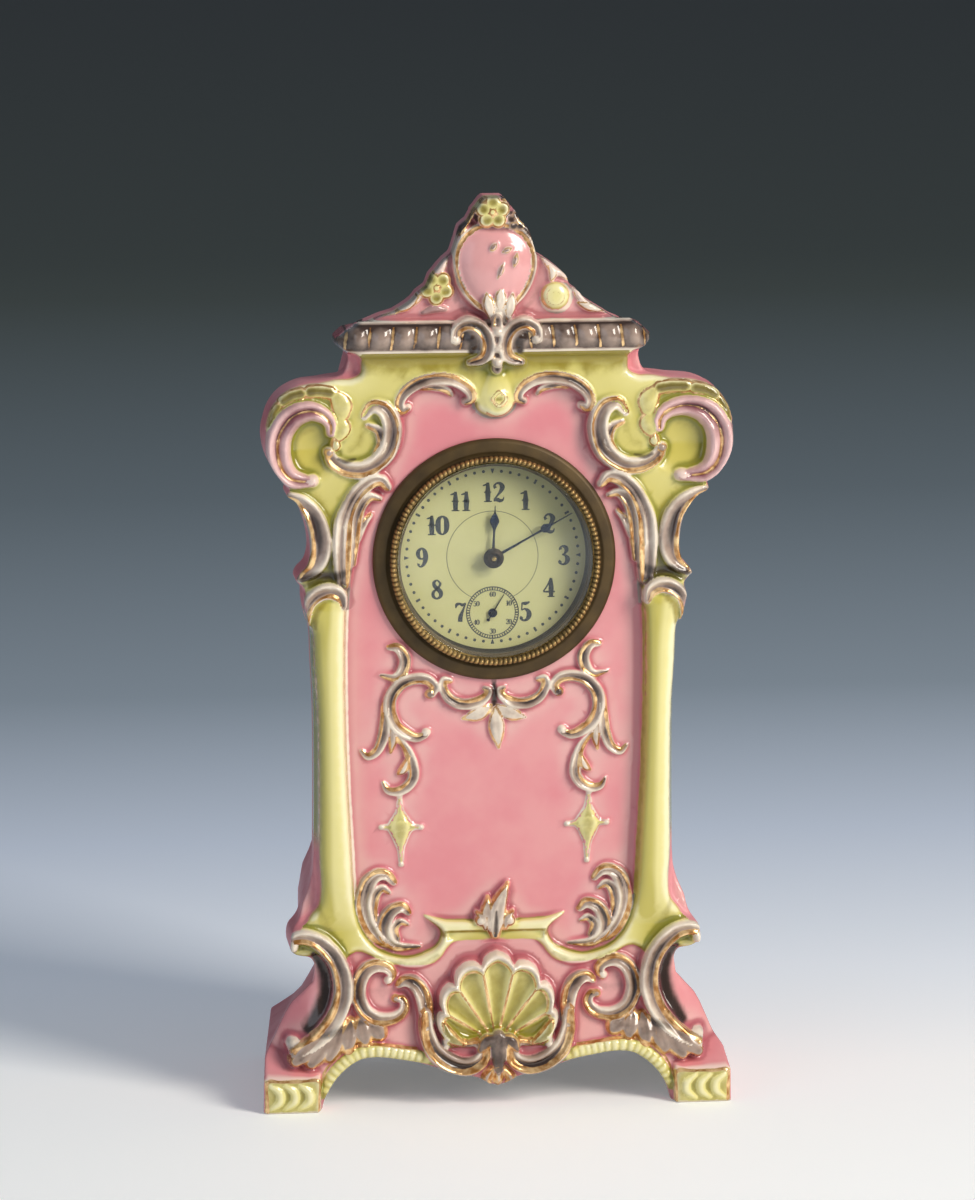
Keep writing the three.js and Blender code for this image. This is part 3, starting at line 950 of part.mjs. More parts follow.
add("porcelain_case", geometryOf(porcelainCase), PORCELAIN, 0, 0.15);
add("bezel_flange", flange, BRONZE, 1, 0.5);
add("rope_ring", ropeRing, BRASS, 1, 0.3);
add("glass", disc(GLASS_RADIUS, GLASS_FRONT, GLASS_BACK, CENTRE, WIDE_ROUND), CLEAR, 0, 0.05);
add("sight_ring", sightRing, BRASS, 1, 0.3);
add("dial", slab(dialShape, DIAL_FRONT, DIAL_BACK, WIDE_ROUND / 2), CREAM, 0, 0.5);
add("drum", ring(DRUM_INNER, DRUM_OUTER, FLANGE_BACK + SEAT_GAP, DRUM_BACK), BRASS, 1, 0.4);
add("dust_cover", geometryOf(dustCover), BRASS, 1, 0.4);
add("rear_ring", slab(ringShape, RING_Y, RING_END, WIDE_ROUND / 2), BRASS, 1, 0.35);
add("strap_left", geometryOf(strap(-1)), BRASS, 1, 0.4);
add("strap_right", geometryOf(strap(1)), BRASS, 1, 0.4);
add("strap_screw_left", strapScrew(-1), STEEL, 1, 0.35);
add("strap_screw_right", strapScrew(1), STEEL, 1, 0.35);
add("front_plate", geometryOf(frontPlate), BRASS, 1, 0.35);
add("back_plate", geometryOf(backPlate), BRASS, 1, 0.35);
pillarPlaces.forEach((place, i) => {
  add(`pillar_${i + 1}`, pillar(place), BRASS, 1, 0.35);
  add(`pillar_nut_${i + 1}`, pillarNut(place), STEEL, 1, 0.35);
});
FOOT_ANGLES.forEach((angle, i) => {
  const foot = disc(0.8, DIAL_BACK + SEAT_GAP, FRONT_PLATE_Y - SEAT_GAP, polar(CENTRE, FEET_RADIUS, angle));
  add(`dial_foot_${i + 1}`, foot, BRASS, 1, 0.35);
});
add("centre_arbor", centreArbor, STEEL, 1, 0.3);
add("cannon_pinion", geometryOf(cannonPinion), STEEL, 1, 0.3);
add("set_knob", slab(knobShape, KNOB_Y, KNOB_Y + KNOB_LENGTH, 4), BRASS, 1, 0.35);
add("minute_hand", slab(hand(CENTRE, MINUTE_ANGLE, CANNON_PIPE + 1.2, CANNON_PIPE + RUN_GAP, minuteStem),
  MINUTE_HAND_Y - HAND_THICKNESS, MINUTE_HAND_Y, 8), BLUED, 1, 0.35);
add("hand_nut", disc(CANNON_PIPE + 1.4, MINUTE_HAND_Y - HAND_THICKNESS - SEAT_GAP - 0.7,
  MINUTE_HAND_Y - HAND_THICKNESS - SEAT_GAP, CENTRE, 20), BLUED, 1, 0.35);
add("hour_wheel", geometryOf(hourWheel), BRASS, 1, 0.35);
add("hour_hand", slab(hand(CENTRE, HOUR_ANGLE, HOUR_PIPE + 1, HOUR_PIPE + RUN_GAP, hourStem),
  HOUR_HAND_Y - HAND_THICKNESS, HOUR_HAND_Y, 8), BLUED, 1, 0.35);
add("minute_wheel", geometryOf(minuteWheel), BRASS, 1, 0.35);
add("seconds_hand", slab(hand(FOURTH, SECONDS_ANGLE, 1.15, PIVOT_RADIUS + RUN_GAP, secondsStem),
  SECONDS_HAND_Y - HAND_THICKNESS, SECONDS_HAND_Y, 6), BLUED, 1, 0.35);
add("fourth_arbor", geometryOf(fourthArbor), STEEL, 1, 0.3);
add("fourth_wheel", slab(wheel(FOURTH_TEETH, FOURTH_MODULE, FOURTH, ESCAPE, WHEEL_BORE),
  FOURTH_WHEEL_Y, FOURTH_WHEEL_Y + WHEEL_THICKNESS, 4), BRASS, 1, 0.35);
add("third_arbor", geometryOf(thirdArbor), STEEL, 1, 0.3);
add("third_wheel", slab(wheel(THIRD_TEETH, THIRD_MODULE, THIRD, FOURTH, WHEEL_BORE),
  THIRD_WHEEL_Y, THIRD_WHEEL_Y + WHEEL_THICKNESS, 4), BRASS, 1, 0.35);
add("centre_pinion", geometryOf(centrePinionBody), STEEL, 1, 0.3);
add("centre_wheel", slab(wheel(CENTRE_TEETH, CENTRE_MODULE, CENTRE, THIRD,
  CENTRE_RADIUS + RUN_GAP * 2 + 0.4),
  CENTRE_WHEEL_Y, CENTRE_WHEEL_Y + WHEEL_THICKNESS, 4), BRASS, 1, 0.35);
add("escape_arbor", geometryOf(escapeArbor), STEEL, 1, 0.3);
add("escape_wheel", slab(escapeShape, ESCAPE_WHEEL_Y, ESCAPE_WHEEL_Y + WHEEL_THICKNESS, 4), BRASS, 1, 0.35);
add("pallet_arbor", staff(PALLET, ESCAPE_WHEEL_Y - 0.5, LEVER_WAIST, WHEEL_THICKNESS + 1), STEEL, 1, 0.3);
add("pallet_lever", slab(leverShape, ESCAPE_WHEEL_Y, ESCAPE_WHEEL_Y + WHEEL_THICKNESS, 4), STEEL, 1, 0.3);
add("balance_staff", staff(BALANCE, BALANCE_Y - 0.5, STAFF_WAIST, 3), STEEL, 1, 0.3);
add("balance_wheel", slab(balanceShape, BALANCE_Y, BALANCE_Y + WHEEL_THICKNESS, 8), BRASS, 1, 0.35);
add("hairspring", spiral(BALANCE, STAFF_WAIST + 0.4, BALANCE_RADIUS * 0.62, 3, 0.2, BALANCE_Y + 1.5,
  BALANCE_Y + 2.1, 10), STEEL, 1, 0.3);
add("winding_arbor", windingArbor, STEEL, 1, 0.3);
add("ratchet_wheel", slab(ratchetShape, RATCHET_Y, RATCHET_Y + RATCHET_THICKNESS, 4), STEEL, 1, 0.3);
add("great_wheel", geometryOf(greatWheel), BRASS, 1, 0.35);
add("click", slab(clickShape, RATCHET_Y, RATCHET_Y + 0.8, 4), STEEL, 1, 0.3);
add("mainspring", spiral(GREAT, WINDING_RADIUS + 0.6, MAINSPRING_RADIUS, 4, 0.4, SPRING_Y,
  BACK_PLATE_Y - SPRING_GAP, 12), STEEL, 1, 0.3);
add("winding_key", geometryOf(windingKey), BRASS, 1, 0.35);
add("regulator", slab(regulatorShape, COVER_END + SEAT_GAP, COVER_END + SEAT_GAP + 0.8, 6), STEEL, 1, 0.3);

export default group;
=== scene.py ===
import json
import math

import bmesh
import bpy
import numpy as np
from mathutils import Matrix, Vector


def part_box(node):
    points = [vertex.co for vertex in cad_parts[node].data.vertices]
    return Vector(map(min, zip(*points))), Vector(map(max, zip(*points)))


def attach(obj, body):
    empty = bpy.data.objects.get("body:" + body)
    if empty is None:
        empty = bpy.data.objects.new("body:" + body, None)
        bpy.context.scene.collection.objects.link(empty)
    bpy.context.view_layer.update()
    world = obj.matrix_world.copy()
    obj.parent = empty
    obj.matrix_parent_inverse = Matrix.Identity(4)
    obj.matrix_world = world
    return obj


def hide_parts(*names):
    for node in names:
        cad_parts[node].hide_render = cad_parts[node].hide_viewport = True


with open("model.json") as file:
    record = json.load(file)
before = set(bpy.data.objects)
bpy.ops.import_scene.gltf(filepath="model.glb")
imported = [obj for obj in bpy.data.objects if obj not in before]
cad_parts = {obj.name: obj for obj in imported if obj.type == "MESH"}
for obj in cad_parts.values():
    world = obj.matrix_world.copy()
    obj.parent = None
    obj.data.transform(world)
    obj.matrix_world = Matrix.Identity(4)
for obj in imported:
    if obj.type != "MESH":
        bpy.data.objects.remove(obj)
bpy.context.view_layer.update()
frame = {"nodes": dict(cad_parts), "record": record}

import openvdb
from mathutils import Matrix, Vector

MM = 0.001
DIAL_Z = 142.5
DIAL_FACE = -18.0

# Relief of the cast front, drawn as maps over x and z in millimetres; the left half has HALF columns.
CELL = 0.2
X = np.linspace(-62.8, 62.8, 629)
Z = np.linspace(-2.0, 240.0, 1211)
HALF = len(X) // 2 + 1

# How far forward the sunk panel, the frame and its border, the feet and the flared base stand.
PANEL = 22.0
FRAME = 24.5
FOOT = 33.0
FRAME_BORDER = 22.8
FLARE_Z = [0, 11.2, 18, 25, 32, 40, 50, 60]
FLARE_OUT = [30, 30, 28.7, 27, 25.6, 24.5, 22.8, 21]

# Heights of the feet, the cornice and its row of gadroons, and the cartouche of the gable.
FOOT_TOP = 8.8
FRAME_TOP = 197
CORNICE_FOOT = 196.3
GADROON_Z = 200.3
CORNICE_TOP = 204.8
CARTOUCHE_Z = 218
CARTOUCHE_HALF = 11.4

# A distance past any border, for a map where a glaze does not lie.
FAR = 9.0


def through(points, spans=5, closed=False):
    """A smooth line through the points."""
    p = np.asarray(points, float)
    if closed:
        p = np.vstack([p[-1], p, p[0], p[1]])
    else:
        p = np.vstack([2 * p[0] - p[1], p, 2 * p[-1] - p[-2]])
    t = np.linspace(0, 1, spans, endpoint=False)[:, None]
    parts = [0.5 * (2 * b + (c - a) * t + (2 * a - 5 * b + 4 * c - d) * t ** 2
                    + (3 * b - a - 3 * c + d) * t ** 3)
             for a, b, c, d in zip(p, p[1:], p[2:], p[3:])]
    return np.vstack(parts + [p[-2:-1]])


def edge_distance(points, spans=4):
    """Distance to a closed outline of the left half and its mirror image, below zero inside."""
    line = through(points, spans, closed=True) if spans > 1 else np.vstack([points, points[:1]])
    gx, gz = np.meshgrid(X[:HALF], Z, indexing="ij")
    best = np.full(gx.shape, 1e9)
    inside = np.zeros(gx.shape, bool)
    for (ax, az), (bx, bz) in zip(line, line[1:]):
        ex, ez = bx - ax, bz - az
        s = np.clip(((gx - ax) * ex + (gz - az) * ez) / (ex * ex + ez * ez + 1e-9), 0, 1)
        best = np.minimum(best, (gx - ax - s * ex) ** 2 + (gz - az - s * ez) ** 2)
        if ez:
            inside ^= ((az > gz) != (bz > gz)) & (gx < ex * (gz - az) / ez + ax)
    half = np.where(inside, -1, 1) * np.sqrt(best)
    return np.vstack([half, half[-2::-1]])


def soften(field, reach):
    """Three box averages, close to a round blur of that reach."""
    n = max(1, round(reach / CELL))
    for _ in range(3):
        for _ in range(2):
            padded = np.pad(field, [(n + 1, n), (0, 0)], mode="edge")
            total = np.cumsum(padded, axis=0)
            field = ((total[2 * n + 1:] - total[:-2 * n - 1]) / (2 * n + 1)).T
    return field


def bulge(distance, height, edge):
    """A raised ground with a quarter-round border."""
    s = 1 - np.clip(-distance / edge, 0, 1)
    return height * np.sqrt(1 - s * s)


def ease(a, b, value):
    """From 0 at a to 1 at b, with a soft start and end."""
    t = np.clip((value - a) / (b - a), 0, 1)
    return t * t * (3 - 2 * t)


# Outlines of the left half, closed well past the middle line.
panel_edge = edge_distance([
    (20, 179.4), (4, 179.4), (-1.5, 179.6), (-4.6, 181.4), (-5.8, 185), (-8.6, 188), (-12, 189.2),
    (-15.6, 189.4), (-19.4, 188.2), (-22.4, 186), (-24, 183.4), (-25.4, 179.6), (-27.2, 173.4),
    (-29.6, 169), (-31, 166.4), (-33, 163.4), (-36, 160.6), (-38, 157), (-38.8, 152), (-38.2, 145),
    (-37.6, 139), (-38, 132), (-38.4, 122), (-38.4, 104), (-37.9, 86), (-37.1, 70), (-36.6, 60),
    (-36, 51.8), (-34.2, 45.9), (-31, 41.8), (-27.4, 39.8), (-22.8, 38.9), (-17.8, 40.2), (-14.9, 42.2),
    (-14.3, 45.5), (-18.6, 49.4), (-12.5, 48.3), (0, 48.1), (20, 48)])
frame_edge = edge_distance([
    (20, 197), (0, 197), (-30, 197), (-34.3, 196.6), (-34.6, 194), (-34.6, 191.4), (-37, 190),
    (-41, 189.9), (-45, 189.3), (-50, 188.6), (-54.6, 186.2), (-57.4, 182.7), (-58.8, 178.6),
    (-59.3, 175), (-58.7, 171), (-57.2, 167.3), (-55.2, 164.5), (-53.2, 162), (-53.4, 160),
    (-51, 158.2), (-49, 154), (-47.9, 150), (-47.5, 145.5), (-48.4, 142), (-50.4, 139.8), (-51, 137.7),
    (-49.4, 135.6), (-49.2, 131.8), (-48.2, 127), (-47.2, 124), (-46.8, 115), (-46.1, 104), (-45.9, 91),
    (-45.9, 77), (-46, 66), (-45.6, 58.6), (-46, 53.4), (-47.8, 50.6), (-50, 48.2), (-53, 45.6),
    (-53, 41), (-50, 39.6), (-46, 40), (-41, 38), (-36, 40.6), (-31.5, 39), (-27, 37.3), (-23.3, 36),
    (-18.7, 36), (-14.6, 38.2), (-11.9, 41.6), (-9, 42.7), (0, 42.7), (20, 42.7)])
pediment_edge = edge_distance([
    (20, 236.6), (0, 236.8), (-3.2, 236.4), (-5.2, 234.2), (-7.6, 231), (-9.4, 228), (-11.2, 224),
    (-13, 220.8), (-16, 218.8), (-19.3, 216.4), (-21, 213.6), (-23, 211), (-26.2, 208.2),
    (-30.2, 205.4), (-32, 204.4), (-32, 202), (0, 202), (20, 202)])
cornice_edge = edge_distance([
    (20, CORNICE_TOP), (0, CORNICE_TOP), (-34.4, CORNICE_TOP), (-37.8, 202.6), (-40.6, 200),
    (-40.6, 198.4), (-38.6, 196.9), (-35.6, 196.2), (-34.4, 195), (0, 195), (20, 195)], spans=1)
arch_edge = edge_distance([
    (20, 6), (0.5, 5.4), (-3.7, 7), (-10, 8.6), (-16, 10.4), (-20.5, 11.8), (-25.1, 12.7),
    (-29.6, 13.4), (-34.2, 13.4), (-37.8, 11.8), (-41.5, 8.6), (-44.2, 4.5), (-45.6, 0), (-46, -6),
    (20, -6)])
foot_edge = edge_distance([(-60.6, -6), (-60.6, 11), (-46, 11), (-46, -6)], spans=1)

GX, GZ = np.meshgrid(X, Z, indexing="ij")
LEAF_STEP = 8.4
leaf_phase = ((GZ - 203.6) / LEAF_STEP) % 1
leafy = 1.1 * (leaf_phase - 0.55) * ease(0, 0.12, leaf_phase) * ease(1, 0.9, leaf_phase)
pediment_edge -= leafy * (GZ < 232)
pediment_edge += 1.1 * ease(205, 210, GZ)
flare = np.interp(Z, FLARE_Z, FLARE_OUT)
flare = np.convolve(np.pad(flare, 12, mode="edge"), np.ones(25) / 25, mode="valid")
aside = np.abs(GX)

# Ground of the front: flared base with receding flanks, raised frame with half-round columns, sunk panel.
flank = 9.5 * ease(45, 60.8, aside) * (1 - ease(28, 42, GZ))
forward = flare - flank
ledge = FOOT - np.clip((GZ - FOOT_TOP) * 1.9, 0, 40)
forward = np.where((foot_edge < 0) | ((aside > 46) & (GZ < 18)), np.maximum(forward, ledge), forward)
frame_depth = np.clip(np.minimum(-frame_edge, panel_edge), 0, None)
stretch = ease(42, 62, GZ) * (1 - ease(131, 139, GZ))
pillow = np.sqrt(1 - (1 - np.clip(frame_depth / 4.2, 0, 1)) ** 2)
frame_ground = FRAME_BORDER + bulge(-frame_depth, FRAME - FRAME_BORDER, 1.8) + 3.2 * pillow * stretch
lower_ground = flare + bulge(-frame_depth, 1.5, 1.5)
frame_ground = np.where(GZ < 60, np.maximum(frame_ground, lower_ground), frame_ground)
forward = np.where(frame_depth > 0, np.maximum(forward, frame_ground), forward)
forward -= 2.0 * np.clip(1 - (np.hypot(aside - 47.2, GZ - 172) / 8) ** 2, 0, 1)
bar_step = (1 - ease(45.0, 45.5, GZ)) * ease(42.8, 43.3, GZ) * (aside < 12.6) * (frame_depth > 0)
forward -= 0.9 * bar_step
sunk = ease(-0.9, 0.3, -panel_edge)
forward = forward * (1 - sunk) + PANEL * sunk

# Gable, cartouche, cornice with its row of gadroons, and feet.
forward = np.where((pediment_edge < 0) & (GZ > 202), 20.6 + bulge(pediment_edge, 1.2, 2.5), forward)
egg_half = np.maximum(8.4 + 0.14 * (GZ - 206.6), 1)
dome = np.clip(1 - (GX / egg_half) ** 2 - ((GZ - CARTOUCHE_Z) / CARTOUCHE_HALF) ** 2, 0, 1)
forward = np.where(dome > 0, np.maximum(forward, 22 + 4.4 * np.sqrt(dome)), forward)
roll = np.sqrt(np.clip(1 - ((GZ - 199.8) / 5) ** 2, 0, 1))
forward = np.where(cornice_edge < 0, 23.4 + 2.6 * roll + bulge(cornice_edge, 0.8, 1.4), forward)
GADROON = 5.9
GADROON_HALF = 2.75
slant = aside + 0.12 * (GZ - 199.7)
bead_phase = np.abs((slant + GADROON / 2) % GADROON - GADROON / 2) / GADROON_HALF
row_swell = np.clip(1 - ((GZ - GADROON_Z) / 3.3) ** 2, 0, 1)
gadroon = np.sqrt(np.clip(1 - bead_phase ** 2, 0, 1) * row_swell)
in_row = (cornice_edge < -0.2) & (aside < 39.6)
forward = np.where(in_row, np.maximum(forward, 25.2 + 2.6 * gadroon), forward)
cornice_end = np.sqrt(np.clip(1 - (np.clip(aside - 35.6, 0, None) / 5.4) ** 2, 0, 1))
forward = np.where(cornice_edge < 0.6, 15 + (forward - 15) * cornice_end, forward)
forward = np.where(foot_edge < 0, np.minimum(forward, ledge - 1.2 + bulge(foot_edge, 1.2, 0.9)), forward)

# Scallop shell: flutes spread from a hinge, ribs between them, a rolled lip.
HINGE = (0.0, 16.0)
FLUTE = math.radians(22.5)
SHELL_HALF_SPREAD = math.radians(92)
shell_bearing = np.arctan2(GX - HINGE[0], GZ - HINGE[1])
shell_reach = np.hypot(GX - HINGE[0], GZ - HINGE[1])
flute_phase = shell_bearing / FLUTE
lobe = 0.91 + 0.11 * np.sqrt(np.abs(np.cos(math.pi * flute_phase)))
shell_rim = lobe * np.interp(np.abs(shell_bearing), np.radians([0, 28, 58, 85, 105]),
                             [24.4, 22.6, 18.6, 14.6, 13])
shell_inside = np.where(np.abs(shell_bearing) < SHELL_HALF_SPREAD, shell_rim - shell_reach, -FAR)
rib = np.abs((flute_phase % 1) - 0.5) * 2
grow = np.clip(shell_reach / shell_rim, 0, 1)
shell_lip = np.exp(-((shell_inside - 1.2) / 0.9) ** 2)
shell = 27.6 + 2.8 * grow + 2.0 * (1 - rib) ** 2 * grow + 1.4 * shell_lip
shell = shell - 2.2 * (1 - bulge(-shell_inside, 1, 1.4))
forward = np.where(shell_inside > 0, np.maximum(forward, shell), forward)

# Where each glaze lies, in mm inside its border, and how it is shaded.
green = np.where(GZ < 37, -FAR, np.minimum(-frame_edge, panel_edge))
green = np.maximum(green, np.where(GZ > 150, np.minimum(-cornice_edge, 196.6 - GZ), -FAR))
green = np.maximum(green, np.minimum(-foot_edge, 8.9 - GZ))
green = np.maximum(green, shell_inside - 0.6)
column_zone = (GZ > 54) & (GZ < 130) & (aside > 34)
green = np.maximum(green, np.where(column_zone & (aside > 43) & (GZ > 66), 1.2 - frame_edge, -FAR))
cover = np.where(GZ > 50, 0.45 - np.abs(panel_edge + 0.3), -FAR)
tone = np.ones(GX.shape)
blush = np.zeros(GX.shape)
dusk = np.zeros(GX.shape)
inner_line = np.where(GZ > 106, np.abs(panel_edge - 0.6), FAR)
column_lines = 0.2 - np.minimum(inner_line, np.abs(frame_edge + 0.3))
gold = np.where((GZ > 52) & (GZ < 131) & (aside > 30), column_lines, -FAR)
shell_lines = np.maximum(0.4 - rib * FLUTE / 2 * shell_reach, 0.4 - np.abs(shell_inside - 2.7))
gold = np.maximum(gold, np.where((shell_inside > 2.2) & (shell_reach > 3), shell_lines, -FAR))
cover = np.maximum(cover, np.where(shell_inside > 0, 1.1 - np.abs(shell_inside - 1.1), -FAR))
# Deep green where glaze ran thick: in the shell's flutes, under the cornice in drips, on the feet and along
# the columns' borders; in the flutes, under the cornice and along the columns it is painted shade as well.
thick = np.where(shell_inside > 3, 0.6 * ease(0.15, 0.6, rib), 0.0)
drip = 1.4 * np.abs(np.sin(aside * math.pi / GADROON)) + 0.8 * np.sin(aside * 0.7)
under_cornice = ease(187.5 + drip, 194 + drip, GZ) * (GZ < FRAME_TOP)
thick = np.maximum(thick, 0.95 * under_cornice * (frame_edge < 0))
thick = np.maximum(thick, 0.55 * ((foot_edge < 0) & (GZ < FOOT_TOP)))
thick = np.maximum(thick, 0.6 * stretch * ease(1.6, 0.2, frame_depth) * (frame_depth > 0))
row_gap = 0.36 - np.abs(bead_phase - 1.07) * GADROON_HALF
gold = np.maximum(gold, np.where(in_row & (np.abs(GZ - GADROON_Z) < 3.1), row_gap, -FAR))
# The gadroons are paler on their crowns and dark brown in the gaps between them, a painted highlight and
# painted shade.
banded = (cornice_edge < 0) & (GZ > CORNICE_FOOT)
cover = np.where(banded, np.minimum(0.3 - cornice_edge, GZ - CORNICE_FOOT), cover)
edging = np.maximum(ease(203.7, 204.5, GZ), 1 - ease(196.9, 197.5, GZ))
tone = np.where(banded, np.clip(0.36 * gadroon + edging, 0, 1), tone)
between = (np.abs(GZ - 200.8) < 3.1) & banded
dusk = np.where(between, 0.8 * (1 - gadroon) ** 2, dusk)
maps = {"forward": forward, "green": green, "cover": cover, "tone": tone, "blush": blush, "gold": gold,
        "dusk": dusk, "thick": thick}


def near(points):
    """The map window round a strand; there, the share of its half width, signed by side, that width and
    the way along the strand from 0 to 1."""
    line = through(points)
    half = np.maximum(line[:, 2], 0.2)
    reach = half.max() + 1.2
    i = slice(*np.searchsorted(X, [line[:, 0].min() - reach, line[:, 0].max() + reach]))
    j = slice(*np.searchsorted(Z, [line[:, 1].min() - reach, line[:, 1].max() + reach]))
    gx, gz = np.meshgrid(X[i], Z[j], indexing="ij")
    best = np.full(gx.shape, 1e9)
    side, width, way = np.ones(gx.shape), np.ones(gx.shape), np.zeros(gx.shape)
    for k in range(len(line) - 1):
        ax, az = line[k, :2]
        ex, ez = line[k + 1, :2] - line[k, :2]
        s = np.clip(((gx - ax) * ex + (gz - az) * ez) / (ex * ex + ez * ez + 1e-9), 0, 1)
        dx, dz = gx - ax - s * ex, gz - az - s * ez
        w = half[k] + (half[k + 1] - half[k]) * s
        share = np.hypot(dx, dz) / w
        closer = share < best
        best = np.where(closer, share, best)
        side = np.where(closer, np.sign(ex * dz - ez * dx + 1e-9), side)
        width = np.where(closer, w, width)
        way = np.where(closer, (k + s) / (len(line) - 1), way)
    return (i, j), side * best, width, way


def lay(window, rise, inside, **glaze):
    """Lays a raised form on the maps: what stands further forward hides what it covers."""
    over = (inside > 0) & (rise > maps["forward"][window])
    np.copyto(maps["forward"][window], rise, where=over)
    for name, value in glaze.items():
        value = np.broadcast_to(value, over.shape)
        if name in ("cover", "gold", "green"):
            fringe = (inside <= 0) & (value > maps[name][window])
            np.copyto(maps[name][window], value, where=over | fringe)
        else:
            np.copyto(maps[name][window], value, where=over)


def ground(level, window):
    """A level that is the same all over, or one that is given at several heights."""
    return level if np.isscalar(level) else np.interp(Z[window[1]], *level)[None, :]


# What the strands stand on.
ON_PANEL = PANEL - 0.1
ON_FRAME = FRAME - 0.3
ON_FLARE = (FLARE_Z, [f + 0.1 for f in FLARE_OUT])
ON_CONSOLE = ([0, 14, 22, 34, 44, 60], [29.6, 29.2, 28.4, 27.6, 26.8, 25])


# Sections of the scrolls from the low rim to the high one: share of the half width, rise and tone. The tone
# is pale on the high rims, partly a painted highlight, and dark in the hollows, partly painted shade.
CHANNEL = ((-1, 0.66, 0.45), (-0.6, 0.8, 0.85), (-0.12, 0.38, 0.16), (0.34, 0.66, 0.5), (0.8, 1.05, 0.95),
           (1, 1.1, 0.75))
TWIN = ((-1, 0.6, 0.8), (-0.5, 0.95, 0.75), (-0.08, 0.66, 0.4), (0.08, 0.4, 0.0), (0.26, 0.8, 0.6),
        (0.65, 1.1, 0.9), (1, 1.0, 0.8))
FLUTED = ((-1, 0.66, 0.5), (-0.64, 0.82, 0.85), (-0.36, 0.46, 0.2), (-0.1, 0.8, 0.75), (0.14, 0.5, 0.24),
          (0.5, 0.86, 0.7), (0.85, 1.1, 0.95), (1, 1.1, 0.8))


def scroll(points, level, height, lean=1, gilt=0.48, tint=0.0, pink=0.0, line=-0.5, shade=0.55,
           section=CHANNEL):
    """A channelled scroll: high rim on the lean side, paler there partly as painted highlight, a gilt line
    along it, dark glaze in its hollow that is painted shade as well.
    """
    window, u, width, way = near(points)
    inside = (1 - np.abs(u)) * width
    across, rises, tones = zip(*section)
    raised_by = np.sqrt(np.clip(1 - u ** 6, 0, 1)) * np.interp(u * lean, across, rises)
    tone = np.interp(u * lean, across, tones) + tint + 0.18 * np.sin(way * 11)
    brushed = gilt * np.minimum(1.2, 0.45 + width / 2.4) * (1.05 + 0.35 * np.sin(way * 9 + 1))
    rise = ground(level, window) + height * raised_by * (width / width.max()) ** 0.5
    lay(window, rise, inside, cover=inside, tone=tone, blush=pink, thick=0.0,
        dusk=shade * np.clip(1 - 3.2 * tone, 0, 1),
        gold=brushed - np.abs(u - line * lean) * width if gilt else -FAR)


def leaf(points, level, height, gilt=0.0, green_leaf=False,
         tone=0.75, pink=0.0, vein=0.0, deep=0.0, cup=0.0):
    """A rounded leaf or lobe with a gilt border; vein sinks its middle line and cup its whole middle, and
    deep is the glaze pooled there, darker and greener in the middle, which is painted shade as well."""
    window, u, width, _ = near(points)
    inside = (1 - np.abs(u)) * width
    rise = height * np.sqrt(np.clip(1 - u * u, 0, 1)) * (width / width.max()) ** 0.5
    rise = rise - vein * np.exp(-(u * width / 0.35) ** 2) - cup * np.exp(-(u / 0.5) ** 2)
    border = gilt - np.abs(inside - 0.4) if gilt else np.full(u.shape, -FAR)
    glaze = {"green": inside, "cover": -FAR} if green_leaf else {"cover": inside, "blush": pink}
    pooled_and_shade = deep * ease(1, 0.2, np.abs(u))
    lay(window, ground(level, window) + rise, inside, tone=tone - 0.5 * pooled_and_shade, gold=border, thick=pooled_and_shade,
        dusk=np.clip(pooled_and_shade - 0.45, 0, 1), **glaze)


def ball(x, z, radius, level, height, **glaze):
    """A round knob, as a leaf with hardly any length."""
    leaf([(x - 0.05, z, radius), (x + 0.05, z, radius)], level, height, **glaze)


def gild(points, half):
    """A brushed gold line on what is already there."""
    window, u, width, _ = near([(x, z, half + 0.8) for x, z in points])
    np.maximum(maps["gold"][window], half - np.abs(u) * width, out=maps["gold"][window])


def pour(layer, points, strength):
    """Glaze run together, fading at its edges, in one of three layers: dark brown and deep green, both pooled
    glaze and painted shade, and a darker lime that is the columns' painted shade.
    """
    window, u, _, _ = near(points)
    np.maximum(maps[layer][window], strength * ease(1, 0.1, np.abs(u)), out=maps[layer][window])


# Shoulder scrolls: the pink volute, its gilded cells and lobes, and the inner scroll.
# Deep green and dark brown runs in the hollows of the shoulder are pooled glaze and painted shade.
pour("thick", [(-46.4, 177, 1.4), (-50.4, 175.4, 2), (-51.4, 170.6, 2.4), (-49, 166.6, 1.6)], 0.4)
scroll([(-42.2, 176.2, 1.2), (-42.4, 178.8, 1.7), (-44.4, 181, 2.2), (-48, 182, 2.8), (-52.2, 180.4, 3.3),
        (-55.2, 176.2, 3.5), (-55.8, 171.6, 3.5), (-54.7, 167.4, 3.2), (-52, 164.6, 2.6),
        (-47.4, 163.8, 1.5)], ON_FRAME, 3.4, lean=-1, section=TWIN, pink=1.0, line=0.02, gilt=0.3,
       shade=0.6)
ball(-47, 164, 1.8, ON_FRAME, 2.4, pink=0.5, tone=0.95)
for cell, half in ((((-57.9, 178.4), (-57, 181.2), (-55.7, 183.2)), 1.4),
                   (((-54.2, 184.7), (-52.2, 185.9), (-49.8, 186.5)), 1.9),
                   (((-47.4, 186.9), (-44.8, 187), (-42.4, 186.6)), 2.0)):
    leaf([(x, z, half) for x, z in cell], ON_FRAME, 1.4, gilt=0.36, green_leaf=True, deep=0.95)
for lobe_line in (((-40.6, 185.4, 2.0), (-39.4, 183.4, 2.9), (-39.4, 181.4, 2.4)),
                  ((-39.8, 178.8, 2.0), (-39.4, 177.4, 2.6), (-40, 175.8, 2.0)),
                  ((-41.2, 174, 1.0), (-40.9, 173, 1.5), (-41.2, 172.2, 1.0))):
    leaf(lobe_line, ON_FRAME, 1.6, gilt=0.36, green_leaf=True, deep=0.5)
pour("thick", [(-37.4, 171.6, 1.8), (-34.6, 174.2, 2.2), (-33.2, 178.6, 1.8)], 0.5)
